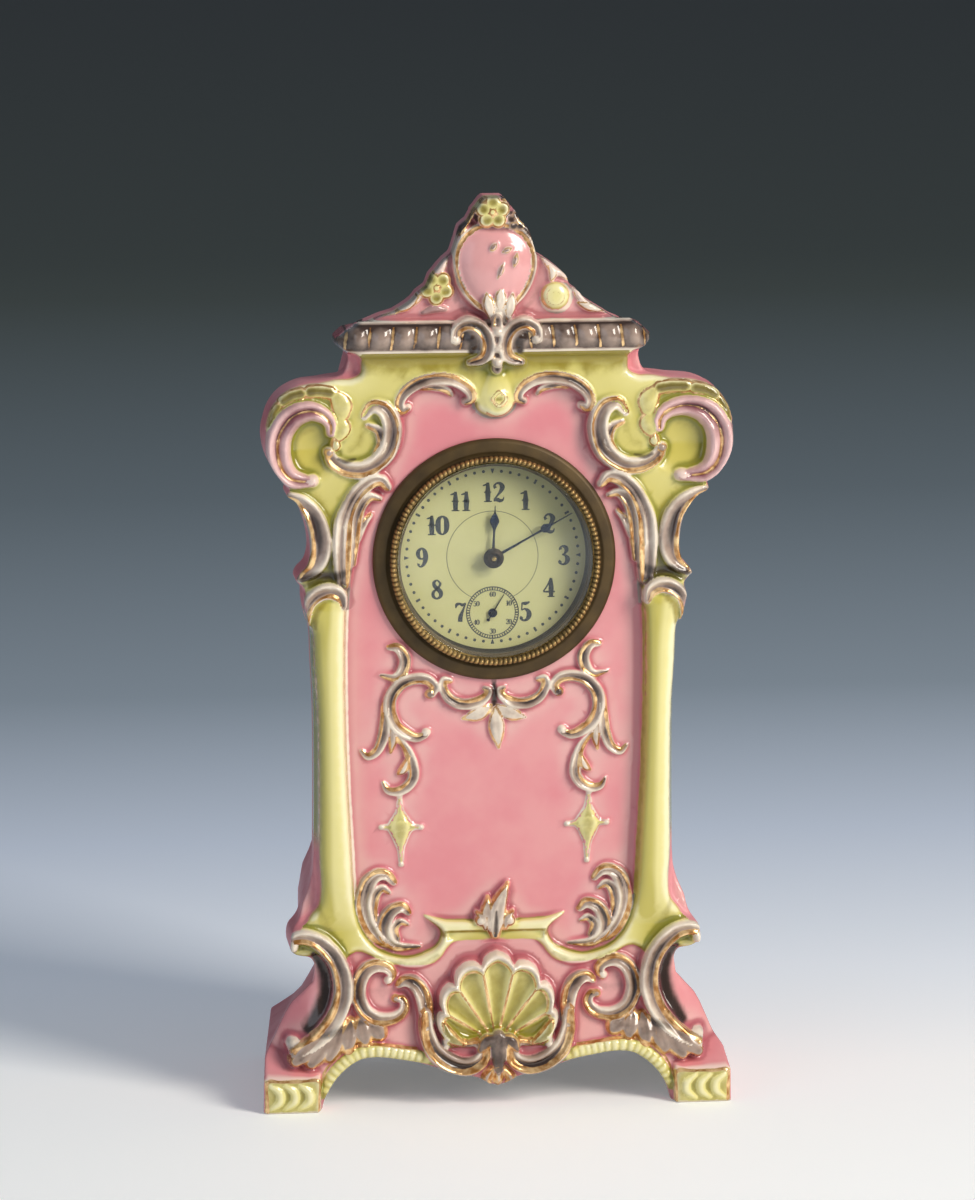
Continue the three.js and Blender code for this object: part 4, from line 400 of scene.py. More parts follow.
scroll([(-33.6, 180.6, 1.3), (-31.4, 183, 1.9), (-28.2, 181.8, 2.4), (-26.4, 177.5, 2.7),
        (-27.3, 172.1, 2.7), (-30, 168.6, 2.6), (-34.2, 166.6, 2.5), (-38.3, 166.9, 2.3),
        (-41.4, 168.7, 1.9), (-42.8, 171.4, 1.3)], ON_FRAME - 1, 3.8, lean=-1, shade=0.5, gilt=0.45,
       tint=0.12)
ball(-42.7, 171.2, 1.4, ON_FRAME, 2.0, tone=0.45, gilt=0.3)
scroll([(-32.6, 178, 0.8), (-30, 176.6, 1.3), (-29.2, 172.9, 1.4), (-31.4, 169.6, 0.9)], ON_FRAME, 2.0,
       shade=0.7)
pour("dusk", [(-40.4, 169.6, 0.8), (-38.4, 168.9, 1.1), (-36, 169.4, 0.7)], 0.7)

# Bracket leaves under the shoulder, and the cap of the column.
# Deep green behind the bracket leaves and dark brown pools under them and round the column's cap are pooled
# glaze and painted shade.
pour("thick", [(-46, 160.4, 1.8), (-43.6, 156, 2.6), (-42.6, 149, 2.6)], 0.45)
scroll([(-52.8, 160, 1.3), (-50, 158.6, 2.1), (-47.2, 155.4, 2.7), (-45.6, 151, 3.1), (-45.2, 146, 3.1),
        (-46.4, 142.2, 2.5), (-48.9, 140, 1.9), (-51, 139.2, 1.4)], ON_FRAME, 2.8, lean=1, shade=0.8,
       gilt=0.6, tint=-0.06)
ball(-51, 139.4, 1.4, ON_FRAME, 2.0, tone=0.5, gilt=0.35)
scroll([(-27.6, 161.8, 1.2), (-29.4, 163.7, 1.7), (-32.2, 163.2, 2.1), (-35.2, 160.7, 2.3),
        (-37.4, 157, 2.4), (-38.8, 152.6, 2.9), (-39.2, 147, 2.9), (-39.2, 141.5, 2.6), (-39, 137, 1.8)],
       ON_FRAME - 1, 3.6, lean=-1, section=FLUTED)
scroll([(-29.6, 158.8, 0.8), (-32, 159.4, 1.3), (-34.2, 157.4, 1.6), (-35.6, 153.6, 1.7), (-36.2, 148, 1.5),
        (-36.4, 142, 0.8)], ON_FRAME - 1.4, 2.8, lean=-1, gilt=0.42, tint=0.1)
scroll([(-31.8, 154.6, 0.6), (-33.8, 152.4, 1.1), (-35.2, 148.4, 0.9)], ON_FRAME - 1.8, 2.4, tint=0.15)
pour("dusk", [(-42.4, 148, 0.6), (-42.4, 144.6, 1.2), (-42.6, 141.4, 2.6)], 0.5)
pour("dusk", [(-49.6, 138.6, 1.6), (-45.4, 139.4, 2.6), (-41, 139.2, 2.6), (-37.6, 140.4, 1.6)], 0.8)
pour("dusk", [(-49.4, 136.8, 1.2), (-45, 138, 2.2), (-40.4, 137.4, 2.4), (-38, 135.4, 1.4)], 0.6)
scroll([(-49.2, 125.8, 1.2), (-49.2, 129, 1.7), (-48.2, 132.4, 2), (-45.6, 134.9, 2.2), (-42.6, 135.6, 2.2),
        (-40.2, 134.4, 1.9), (-39.2, 131.8, 1.2)], 25.8, 3.2, lean=1, tint=0.1, gilt=0.45, shade=0.7)
pour("thick", [(-46.6, 126, 1.2), (-46.4, 130, 1.8), (-44.4, 132.6, 2)], 0.8)

# Scrolls along the head of the panel.
scroll([(-22.5, 182, 0.9), (-23.7, 181.5, 1.2), (-24.6, 183.1, 1.4), (-24, 185.2, 1.6), (-22, 187.4, 1.8),
        (-18.9, 189.1, 1.8), (-15.2, 189.8, 1.8), (-11.4, 189.5, 1.8), (-8.3, 188.1, 1.7),
        (-6.3, 186.1, 1.5), (-6, 184.2, 1.2), (-7.4, 183.4, 0.9)], 23.4, 2.8, lean=-1, shade=0.8)
ball(-22.4, 182.2, 1.2, ON_PANEL, 1.8, tone=1.0)
ball(-7.4, 183.6, 1.2, ON_PANEL, 1.8, tone=0.6)
scroll([(-19, 187, 0.5), (-15.6, 187.3, 1), (-12.3, 186.6, 1), (-11.1, 185.3, 0.7)], ON_PANEL, 2.4, tint=0.2)

# Scrolls of the panel.
scroll([(-27.2, 120, 0.8), (-24.9, 119.8, 1.3), (-23.1, 117, 1.6), (-23.7, 113.9, 1.6), (-25.8, 112.1, 1.2),
        (-29.4, 112.7, 0.5)], ON_PANEL, 2.4, lean=-1, shade=0.9)
scroll([(-16.1, 107.8, 1.1), (-15.5, 109.5, 1.3), (-17.3, 111.3, 1.5), (-20.5, 111.7, 1.6),
        (-24, 110.5, 1.7), (-26.6, 107.4, 1.8), (-27, 103.6, 1.7), (-25.6, 99.8, 1.6), (-23.1, 97.5, 1.5),
        (-20.3, 96.3, 1.3), (-18, 96.9, 1)], ON_PANEL, 2.5, lean=-1, shade=0.85)
ball(-16.7, 107.6, 1.4, ON_PANEL, 1.9, tone=0.2, gilt=0.3)
ball(-17.6, 97.6, 1.2, ON_PANEL, 1.7, tone=1.0)
scroll([(-28.1, 106.8, 0.7), (-28.4, 101, 1.3), (-28.9, 96.6, 1.5), (-30.4, 93, 1.3), (-32.7, 91.5, 1),
        (-34.4, 93, 0.6)], ON_PANEL, 2.1, lean=1, tint=0.1)
leaf([(-26.9, 100.4, 0.6), (-26.3, 96, 1.3), (-26.9, 92.2, 0.4)], ON_PANEL, 1.8, gilt=0.4, tone=0.7)
scroll([(-25.2, 96.6, 0.6), (-22.6, 93.2, 1.2), (-21.3, 89.1, 1.6), (-21.1, 86, 1.6), (-22.6, 83.5, 1.5),
        (-25.1, 82.2, 1.3), (-27.6, 82.5, 1), (-28.9, 84.5, 0.5)], ON_PANEL, 2.3, lean=1, shade=0.7,
       tint=0.1)
leaf([(-22.2, 91.4, 0.6), (-23.6, 88, 1.2), (-25, 86.8, 0.5)], ON_PANEL, 2.1, gilt=0.36, tone=0.8)
STAR = (-24.4, 72.8)
for x, z in ((-24.6, 80.8), (-29.3, 72.8), (-19, 72.6), (-24.2, 62.9)):
    for wide, high in ((0.5, 0.0), (0.0, 0.35)):
        near_middle = (STAR[0] + 0.3 * (x - STAR[0]), STAR[1] + 0.3 * (z - STAR[1]), 1.6 + wide)
        outwards = (STAR[0] + 0.6 * (x - STAR[0]), STAR[1] + 0.6 * (z - STAR[1]), 0.6 + wide)
        leaf([(*STAR, 2.9 + wide), near_middle, outwards, (x, z, 0.25 + wide)], ON_PANEL + high, 1.3,
             tone=0.9, green_leaf=high > 0, deep=0.55)
    ball(x, z, 0.8, ON_PANEL, 1.3, tone=0.95)
scroll([(-11.5, 111, 0.8), (-13.1, 111.1, 1.1), (-13.2, 109, 1.3), (-11.6, 106.4, 1.5), (-8.7, 104.9, 1.6),
        (-5.3, 105, 1.5), (-2.5, 106.3, 1.3), (-1.4, 108.1, 1), (-2.5, 108.8, 0.7)], ON_PANEL, 2.4, lean=-1,
       shade=0.8)
leaf([(-0.8, 104.2, 0.7), (-4, 102.2, 2), (-8.2, 100.9, 0.5)], ON_PANEL, 1.7, gilt=0.3, tone=0.9, vein=0.6,
     deep=0.25)
# Dark brown between the panel's middle scrolls, pooled glaze and painted shade.
pour("dusk", [(0, 111, 0.8), (0, 106.6, 1.8), (0, 103.6, 1)], 0.9)

# Leaves in the lower corners of the panel.
scroll([(-26.2, 58.3, 1), (-28, 60.2, 1.5), (-30.4, 60.4, 1.8), (-32.7, 58.6, 2.1), (-33.9, 55.6, 2.3),
        (-34.2, 52, 2.3), (-32.9, 47.3, 2.1), (-30.2, 43.4, 1.7), (-26.9, 41.3, 0.8)], ON_PANEL, 2.9,
       lean=1, section=FLUTED)
scroll([(-27.4, 55.6, 0.7), (-29.2, 56.8, 1.2), (-31, 55, 1.5), (-31.6, 51.4, 1.4), (-31, 48, 0.8)],
       ON_PANEL, 2.6, gilt=0.42, lean=-1)
scroll([(-22.4, 50.2, 1), (-24, 51.7, 1.5), (-26.4, 51.1, 1.8), (-28.3, 48.9, 2), (-29, 45.9, 2),
        (-27.9, 43, 1.7), (-25, 41.2, 1.4), (-19.4, 41, 0.6)], ON_PANEL, 3, lean=1, shade=0.9)
scroll([(-22.6, 47, 0.6), (-24.6, 47.8, 1.1), (-26.2, 45.9, 1.3), (-25.2, 43.2, 0.9)], ON_PANEL, 2.6,
       gilt=0.4, lean=-1, shade=0.9)
leaf([(-2.6, 46, 0.8), (-3, 48.6, 1.3), (-4.6, 50, 0.7)], FRAME, 1.6, gilt=0.36, tone=0.6)
# Deep green along the frame's borders, pooled glaze and painted shade.
pour("thick", [(-17.8, 47.8, 0.8), (-15.6, 46.2, 1.5), (-13.4, 44.4, 1.4)], 0.9)
pour("thick", [(-13, 45.2, 0.7), (-8, 45.2, 0.7), (-2, 45.2, 0.7)], 0.9)
pour("thick", [(-31, 39.4, 1), (-26, 37.8, 1.4), (-20, 37, 1.4), (-15, 39.4, 1)], 0.45)
pour("thick", [(-46, 53, 1.2), (-44, 48, 2), (-41, 43.6, 2)], 0.45)

# Consoles beside the base, with the leaves at their feet.
# Dark brown in the console's hollow and under the leaves at its foot, pooled glaze and painted shade.
pour("dusk", [(-47.4, 40.4, 1.4), (-44.8, 36.4, 2.6), (-44.2, 31, 3.2), (-46, 25.8, 3.2), (-49, 21, 2.4)],
     0.95)
scroll([(-53.6, 42.6, 1), (-53.2, 44.4, 1.5), (-51, 45.2, 1.9), (-47.6, 44.8, 2.2), (-44.2, 42.4, 2.4),
        (-41.4, 38.6, 2.5), (-40, 34, 2.6), (-40.1, 29.4, 2.6), (-41.7, 24.8, 2.5), (-44.7, 20.7, 2.3),
        (-48.4, 17.5, 2), (-51.2, 16.1, 1.7), (-53, 15.6, 1.2)], ON_CONSOLE, 3.2, lean=1, gilt=0.65,
       line=-0.55, shade=0.9, tint=0.08)
ball(-53, 42.8, 1.7, ON_CONSOLE, 2.2, tone=0.95)
ball(-52.6, 17, 2, ([0, 30], [27.4, 26]), 2.4, tone=0.9)
pour("dusk", [(-45, 20, 1.4), (-40.4, 21, 2.4), (-34, 21.4, 1.6)], 0.6)
for tip, root in (((-52.4, 13.4), (-45, 19.4)), ((-48.4, 12.8), (-42.6, 20.6)), ((-43.8, 14.4), (-40.4, 22)),
                  ((-39, 16.6), (-38, 23)), ((-34.4, 18.4), (-35.6, 23.4)), ((-30.4, 19.6), (-33, 22.6))):
    middle = (0.6 * tip[0] + 0.4 * root[0], 0.6 * tip[1] + 0.4 * root[1], 2.7)
    leaf([(*root, 1.2), middle, (*tip, 1.9)], ON_FLARE, 2.4, gilt=0.55, tone=0.66, vein=0.5, deep=0.6)
pour("dusk", [(-46, 19.6, 1.2), (-42, 20.6, 2), (-38, 22.4, 1.8), (-33.6, 23, 0.8)], 0.55)

# Loop and long scroll between the console and the shell.
scroll([(-28, 32.8, 0.9), (-27, 34.8, 1.3), (-28.6, 36.6, 1.6), (-31.5, 37.1, 1.9), (-34.2, 35.6, 2.1),
        (-35.7, 32.8, 2.2), (-36, 29.5, 2.2), (-34.8, 26.3, 2.1), (-32.8, 24.3, 2), (-30, 23.3, 1.9),
        (-26.8, 23.6, 1.7), (-24.6, 25, 1.5), (-23.9, 26.8, 1.3), (-24.6, 28.4, 1.1), (-26, 28.6, 0.8)],
       ON_FLARE, 3.3, lean=1, gilt=0.55, shade=0.8)
ball(-26.2, 28.5, 1.2, ON_FLARE, 2, tone=0.5, gilt=0.35)
ball(-28, 33.2, 1.2, ON_FLARE, 2, tone=1.0)
# Faint dark brown in the loop's hollow, pooled glaze and painted shade.
pour("dusk", [(-27, 30.4, 1.4), (-30, 29.8, 3.2), (-32.4, 30.4, 1.8)], 0.25)
scroll([(-25.3, 31.9, 0.9), (-23.9, 33, 1.5), (-21.5, 32.6, 2), (-19.5, 30.2, 2.2), (-18.5, 26.6, 2.2),
        (-18.2, 22.6, 2)], ON_FLARE, 3.8, lean=-1, gilt=0.55)
scroll([(-18.6, 25, 1.4), (-18.3, 20, 2.1), (-16.4, 15.2, 2.5), (-12.6, 11.9, 2.7), (-8.4, 10.7, 2.6),
        (-4.8, 12, 2.2), (-3.5, 14.8, 1.7), (-5.4, 16.9, 1.3), (-7.8, 16.6, 0.9)], 29.6, 3.8, lean=-1,
       gilt=0.8, line=0.42, tint=-0.12, shade=1.0)
leaf([(-14, 22.4, 0.8), (-12.6, 19, 1.9), (-9.4, 16.8, 0.9)], 30.6, 2.2, gilt=0.42, green_leaf=True,
     deep=0.8)

# Beaded rim of the arch, chevrons on the feet.
ARCH_RIM = [(-45.2, 4.6, 1.7), (-43, 9, 1.8), (-39.6, 12.6, 1.8), (-35.6, 14.8, 1.8), (-30, 15.2, 1.8),
            (-25.2, 14.5, 1.8), (-20.8, 13.7, 1.7), (-15, 12.2, 1.4)]
ARCH_BEADS = 19
rim_window, rim_share, rim_width, rim_way = near(ARCH_RIM)
rim_inside = (1 - np.abs(rim_share)) * rim_width
rim_bead = np.abs(np.sin(rim_way * math.pi * ARCH_BEADS))
rim_rise = 29.8 + 1.4 * np.sqrt(np.clip(1 - rim_share * rim_share, 0, 1)) * (0.55 + 0.45 * rim_bead)
# Deep green between the beads, pooled glaze and painted shade.
lay(rim_window, rim_rise, rim_inside, green=rim_inside, cover=-FAR, dusk=0.0, thick=0.6 * (1 - rim_bead))
gild([(-46.2, 6.6), (-44.6, 10.7), (-41.9, 13.8), (-38.7, 16), (-34.6, 17), (-29.6, 16.9), (-25.1, 16.2),
      (-21, 15.7)], 0.42)
for x in (-57.6, -53.8, -50):
    leaf([(x - 1.5, 7.4, 0.6), (x + 0.6, 5.8, 1.2), (x + 1, 4.4, 1.3), (x + 0.6, 3, 1.2),
          (x - 1.5, 1.4, 0.6)], FOOT - 0.4, 1.4, green_leaf=True)
gild([(-60, 0.6), (-60, 4), (-60, 8.4), (-56, 8.5), (-51, 8.5), (-46.6, 8.4), (-46.5, 4), (-46.5, 0.6)],
     0.45)

# Cornice scrolls, the leafy rim of the gable and the rim of the cartouche.
# Dark brown inside the cornice scroll, pooled glaze and painted shade.
pour("dusk", [(-8, 201, 1.6), (-6, 199.6, 2.4), (-6.2, 197, 1.8)], 1.0)
scroll([(-10.7, 200, 1.2), (-10, 202.6, 1.6), (-7.4, 204, 1.9), (-4.4, 203, 2), (-2.5, 200.2, 2),
        (-2.3, 197.2, 1.9), (-3.6, 195, 1.6), (-6.6, 194, 1)], 26, 3.4, lean=1, gilt=0.42, shade=1.0,
       tint=-0.04)
ball(-10.4, 199.8, 1.3, 26.2, 2.2, tone=0.9)
for rim_leaf in (((-33.4, 205.2, 0.6), (-28.4, 207.2, 1.6), (-23, 210.4, 2.2), (-20.9, 213.4, 1.1)),
                 ((-21.8, 212.2, 0.8), (-19.4, 215.6, 1.7), (-15.4, 218, 2.1), (-12.9, 220.4, 1.1)),
                 ((-13.6, 219, 0.8), (-12, 223.4, 1.6), (-10.2, 227.4, 1.9), (-8, 230.8, 1))):
    leaf(rim_leaf, 21.2, 2.0, tone=0.98, pink=0.4, vein=0.5, gilt=0.2)
# Dark brown on the gable beside the cartouche, a painted shade.
pour("dusk", [(-7.6, 206.6, 1.4), (-10.8, 211, 1.8), (-12, 217, 2), (-11.2, 223.6, 1.6), (-9, 227.4, 1.4)],
     0.35)
OVAL = [(-(9.9 + 1.4 * math.sin(a)) * math.cos(a), CARTOUCHE_Z + 11.2 * math.sin(a), 0.95)
        for a in np.linspace(-1.5, 1.5, 13)]
scroll(OVAL, 23, 1.8, lean=1, tint=0.1, gilt=0.6, line=-0.2, shade=0.3)

# The right half repeats the left one.
for field in maps.values():
    field[HALF - 1:] = field[:HALF][::-1]


def stretched(field):
    """The map with its right shoulder drawn out and the left slope of its gable drawn in."""
    shoulder = 2.3 * ease(40, 56, GX) * ease(152, 164, GZ) * (1 - ease(190, 197, GZ))
    slope = 2.4 * ease(-9, -17, GX) * ease(CORNICE_TOP, 206.6, GZ) * (1 - ease(216, 224, GZ))
    columns = np.clip(np.rint((GX - shoulder - slope - X[0]) / CELL).astype(int), 0, len(X) - 1)
    return np.take_along_axis(field, columns, axis=0)


for name in maps:
    maps[name] = stretched(maps[name])
frame_edge, pediment_edge = stretched(frame_edge), stretched(pediment_edge)


def flower(x, z, level, petal, petals=5, start=0.3, **glaze):
    """Cupped petals round a small boss, on a dark disc that paints shade in the gaps between them."""
    ball(x, z, petal * 2.3, level - petal * 1.2, petal * 1.2, tone=0.0)
    for k in range(petals):
        a = start + k * 2 * math.pi / petals
        ball(x + petal * 1.2 * math.cos(a), z + petal * 1.2 * math.sin(a), petal, level, petal * 0.75,
             cup=petal * 0.35, **glaze)
    ball(x, z, petal * 0.55, level + petal * 0.2, petal * 0.5, **dict(glaze, deep=0.0))


# Flowers and leaves that differ from side to side.
leaf([(-5.6, 233.6, 1.3), (-7.8, 230.2, 1.8), (-9, 226.6, 0.7)], 23.2, 1.7, tone=0.1, gilt=0.3, deep=0.4)
leaf([(7.4, 229, 1), (9, 226.4, 1.5), (9.8, 223.6, 0.6)], 23.2, 1.5, tone=0.05, gilt=0.24)
leaf([(-5, 235.6, 1.2), (-1, 236.2, 1.3), (3, 235.8, 1.1)], 22.4, 2, tone=0.3, gilt=0.36, deep=0.5)
# Dark brown round the top flowers, pooled glaze and painted shade.
pour("dusk", [(-6.8, 229, 1.4), (-2, 228.2, 1.8), (4, 228, 1.8), (7.6, 226.4, 1.2)], 0.55)
flower(-0.7, 232.2, 24.4, 2.1, green_leaf=True, gilt=0.34, deep=0.8)
flower(5.6, 229.8, 24, 1.25, tone=0.5, gilt=0.16, deep=1.0)
flower(-14.8, 212.8, 22.4, 2.1, start=0.9, green_leaf=True, gilt=0.34, deep=0.8)
leaf([(-25, 206.9, 0.6), (-22.2, 208.6, 1.5), (-19.2, 210.9, 0.6)], 22, 1.6, gilt=0.34, tone=0.95, deep=0.2)
leaf([(-18.4, 206.4, 0.6), (-15.4, 207.4, 1.2), (-12.4, 207.2, 0.6)], 22, 1.3, tone=0.5, pink=0.7)
BUD = (15.9, 209.8)
ball(*BUD, 4.7, 20.8, 2.4, tone=0.98)
ball(BUD[0] - 0.3, BUD[1] + 0.6, 3.6, 22.4, 1.9, green_leaf=True)
for ring, radius in enumerate((3.3, 2.3, 1.2)):
    whorl = [(BUD[0] - 0.3 + radius * math.cos(a + 2 * ring), BUD[1] + 0.6 + radius * math.sin(a + 2 * ring))
             for a in np.linspace(0, 4.4, 9)]
    gild(whorl, 0.16)
    pour("thick", [(x, z, 0.7) for x, z in whorl], 0.35)
leaf([(14.6, 214.4, 0.6), (15, 216.2, 1.3), (14, 218.2, 0.5)], 22, 1.5, tone=0.9, gilt=0.22)
leaf([(21.6, 208.4, 0.6), (24.6, 207.4, 1.4), (28.4, 206.4, 0.5)], 22, 1.5, tone=0.9, gilt=0.3)
for x, z, dx, dz in ((-0.6, 223.4, 1.6, 1.8), (1.2, 217.4, 1.6, 4),
                     (5, 220, 0.8, 3.4), (2.8, 222.6, 2.4, 1)):
    leaf([(x - dx / 2, z - dz / 2, 0.35), (x, z, 0.95), (x + dx / 2, z + dz / 2, 0.35)], 26.1, 1.0,
         gilt=0.22, tone=0.8, pink=0.5)
    pour("dusk", [(x - dx / 2, z - dz / 2, 0.3), (x - 0.2, z, 0.5), (x + dx / 2, z + dz / 2, 0.3)], 0.7)
ball(1, 207.6, 3.6, 24.4, 1.9, tone=0.95)
for x, z, lean_x in ((-1.2, 208.6, -1.2), (1.1, 210.2, 0.3), (3.2, 208.4, 1.2)):
    leaf([(x, z - 3, 0.9), (x + lean_x / 2, z, 1.7), (x + lean_x, z + 3, 0.5)], 25, 2.2, tone=1.0,
         gilt=0.26, vein=0.6)
scroll([(0.2, 205, 1.5), (0.2, 199, 1.9), (0.2, 192.4, 1.5)], 26.2, 2.6, gilt=0.2, tint=-0.15, shade=0.8)
for z in (202, 197.8, 194):
    ball(0.2, z, 1.3, 27.8, 1.4, tone=0.75)
leaf([(0.4, 189, 3.6), (0.5, 184.8, 4.9), (0.5, 183.8, 4.2)], 23.4, 2.2, green_leaf=True, gilt=0.26)
leaf([(-0.9, 184.4, 0.8), (0.9, 186.2, 0.8), (2.7, 184.4, 0.8), (0.9, 182.6, 0.8), (-0.9, 184.4, 0.8)], 25,
     0.9, green_leaf=True, gilt=0.26)
pour("thick", [(0.4, 184.4, 1), (1.2, 184.4, 1)], 0.9)
leaf([(0.3, 103.4, 0.8), (0.6, 98.6, 2.3), (1.2, 93, 0.5)], ON_PANEL, 1.9, gilt=0.3, tone=0.92, vein=0.6,
     deep=0.25)
leaf([(0, 44, 1.4), (0.2, 48.6, 2.6), (1.4, 53, 2), (3.4, 57.4, 0.6)], 23.8, 2.6, gilt=0.42, tone=0.9,
     vein=0.8, deep=0.3)
leaf([(-0.4, 44, 1), (-2.2, 49.4, 1.8), (-1.8, 53.8, 0.6)], 23.8, 2.3, gilt=0.42, tone=0.8, vein=0.6,
     deep=0.3)
# Dark brown between the leaves over the shell, pooled glaze and painted shade.
pour("dusk", [(0.2, 50.6, 0.6), (0.1, 46, 1.2), (0.1, 42.4, 0.9)], 0.85)
for side in (-1, 1):
    ball(side * 3.8, 48, 1.6, FRAME, 1.8, tone=0.8, gilt=0.36)
leaf([(0.2, 18.6, 1.8), (0.2, 15, 2.3), (0.2, 11, 1.5), (0.2, 9, 0.8)], 31, 2.2, tone=0.2, vein=0.5)
for side in (-1, 1):
    leaf([(0.2 + side * 1.6, 18.4, 1.1), (0.2 + side * 3.4, 17.4, 1.7), (0.2 + side * 4.8, 15.2, 1.0)],
         30.8, 2.2, tone=0.15, gilt=0.22)
for x in (-3.4, 0.2, 3.8):
    leaf([(x * 0.5, 9.6, 1), (x * 0.9, 7.4, 1.3), (x * 0.6, 5.4, 0.5)], 30, 2, gilt=0.7, tone=0.6)

# The columns are painted darker on the left of each, a painted shade, and the white line beside the panel, a
# painted highlight, is left out at the right column.
maps["deeper"] = np.zeros(GX.shape)
pour("deeper", [(-45.2, 134, 4.6), (-44.8, 104, 4.8), (-44.7, 80, 4.8), (-44.6, 58, 4.4), (-44, 50, 3)], 1.0)
pour("deeper", [(40.4, 134, 4.6), (40.2, 104, 5), (39.6, 80, 5), (39.2, 58, 4.6), (39.4, 50, 3)], 1.0)
maps["cover"] = np.where(column_zone & (GX > 0) & (np.abs(panel_edge) < 1), -FAR, maps["cover"])

# Front of the casting, its crests and hollows, and where pink glaze pools beside raised forms, partly as
# painted shade, or hazes.
cast = soften(maps["forward"], 0.2)
crest = cast - soften(cast, 1.0)
# Beside the panel the columns' creases are not darkened, and where a column is painted in shade its edges
# lose their paler highlight.
crest = np.where(column_zone & (np.abs(panel_edge) < 2), np.maximum(crest, 0), crest)
crest = np.where(crest > 0, crest * (1 - maps["deeper"]), crest)
# Broad hollows darken the lime as painted shade, and the columns' painted shade darkens it more.
hollow = cast - soften(cast, 3.6) - 3.0 * maps["deeper"]
plain_level = np.maximum(flare - flank, np.where(GZ > 203, 21.8, 20.6))
raised = ease(0.3, 1.2, cast - np.where(panel_edge < 0, PANEL, plain_level))
halo = soften(raised, 0.9)
pool = halo * (1 - raised) * ease(0.9, 1.8, np.abs(panel_edge))
on_gable = GZ > 204
pool *= np.where(on_gable, 0.35, 1)
# A painted shadow on the panel's border beside the columns, strongest beside the right one.
shade_beside_columns = ease(2.8, 0.4, -panel_edge) * (panel_edge < 0.3) * column_zone
pool = np.maximum(pool, shade_beside_columns * np.where(GX > 0, 1.0, 0.4))
on_cartouche = dome > 0.02
haze = np.clip(soften(raised, 2.8) - halo, 0, 1) + 0.22 * on_cartouche + 0.2 * (on_gable & ~on_cartouche)
lining = soften(flare - flank, 1.0)

# The hollow cast body round that front, as a distance field; its sides, roof and cornice fall in to the back.
VOXEL = 0.4
FLATNESS = 0.004
SKIN = 1.5
vx = np.arange(-62.4, 62.41, VOXEL, dtype=np.float32)[:, None, None]
vy = np.arange(-35.6, 32.01, VOXEL, dtype=np.float32)[None, :, None]
vz = np.arange(-1.2, 239.21, VOXEL, dtype=np.float32)[None, None, :]
BACK = 30.3
WALL = 5.0
PLATE_BACK = 10.0
FRONT_BORE = 29.6
BACK_BORE = 33.1
DRAFT_Z = [0, 13, 15, 17, 20, 24, 27, 33, 37, 42]
DRAFT = [6.5, 6.5, 9, 11.3, 13.1, 13.7, 13, 8.5, 6.6, 4.5]
ROOF = 198.0
ROOF_FALL = 0.1
CORNICE_FALL = 0.22
CEILING_DROP = 4
SIDE_Z = [0, 13, 15, 17, 20, 24, 27, 30, 33, 37, 40, 43, 46, 53, 57, 61, 66, 154.5, 184.5, 198, 240]
SIDE_HALF = [60.8, 60.6, 59.9, 59.2, 58, 56, 53.9, 50.6, 47.6, 47, 47.6, 49.6, 51.2, 50, 48.2, 46.8, 46,
             45.1, 40, 36.5, 34]


def at_voxels(field):
    """A map at the voxel columns."""
    i = np.rint((vx.ravel() - X[0]) / CELL).astype(int)
    j = np.rint((vz.ravel() - Z[0]) / CELL).astype(int)
    return field[np.ix_(i, j)].astype(np.float32)[:, None, :]


def fillet_max(a, b, k):
    """The greater of two distances, with a fillet of reach k where they meet."""
    h = np.maximum(k - np.abs(a - b), 0)
    return np.maximum(a, b) + h * h / (4 * k)


def cast_body():
    """Points, triangles and quads of the case, in millimetres."""
    front = at_voxels(cast)
    apron = np.interp(vz, FLARE_Z, FLARE_OUT).astype(np.float32)
    inner_face = at_voxels(lining)
    side = np.interp(vz, SIDE_Z, SIDE_HALF).astype(np.float32)
    draft = np.interp(vz, DRAFT_Z, DRAFT).astype(np.float32)
    plan = np.abs(vx) - side + draft * (vy + apron) / (BACK + apron)
    corner = np.interp(vz, [13, 24], [1.0, 4.0]).astype(np.float32)
    tower = fillet_max(fillet_max(plan, vy - BACK, corner), vz - ROOF + ROOF_FALL * (vy + 10), 5.0)
    cornice = np.maximum(at_voxels(cornice_edge), vz - CORNICE_TOP + CORNICE_FALL * (vy + 24))
    plate = np.minimum(np.minimum(at_voxels(frame_edge), at_voxels(pediment_edge)), cornice)
    plate = fillet_max(plate, vy + PLATE_BACK, 2.0)
    body = -fillet_max(-plate, -tower, 3.0)
    del tower, plate, cornice
    body = fillet_max(body, -vy - front, 1.0)
    inner = np.maximum(plan + WALL, vy - BACK + WALL)
    inner = np.maximum(np.maximum(inner, -vy - np.minimum(inner_face, apron) + WALL),
                       vz - ROOF + WALL + CEILING_DROP)
    body = fillet_max(body, -inner, 0.8)
    axis = np.hypot(vx, vz - DIAL_Z)
    body = np.maximum(body, np.where(vy < -8, FRONT_BORE - axis, -FAR))
    body = np.maximum(body, np.where(vy > 20, BACK_BORE - axis, -FAR))
    body = fillet_max(body, -at_voxels(arch_edge), 0.8)
    body = np.maximum(body, -vz)
    grid = openvdb.FloatGrid(background=SKIN)
    grid.copyFromArray(np.clip(body, -SKIN, SKIN))
    points, triangles, quads = grid.convertToPolygons(isovalue=0.0, adaptivity=FLATNESS)
    points = points * VOXEL + np.array([vx.ravel()[0], vy.ravel()[0], vz.ravel()[0]])
    return points, triangles, quads


def sample(field, points):
    """A map read between its cells at the mesh's points."""
    fi = np.clip((points[:, 0] - X[0]) / CELL, 0, len(X) - 1.001)
    fj = np.clip((points[:, 2] - Z[0]) / CELL, 0, len(Z) - 1.001)
    i, j = fi.astype(int), fj.astype(int)
    a, b = fi - i, fj - j
    return ((field[i, j] * (1 - a) + field[i + 1, j] * a) * (1 - b)
            + (field[i, j + 1] * (1 - a) + field[i + 1, j + 1] * a) * b)


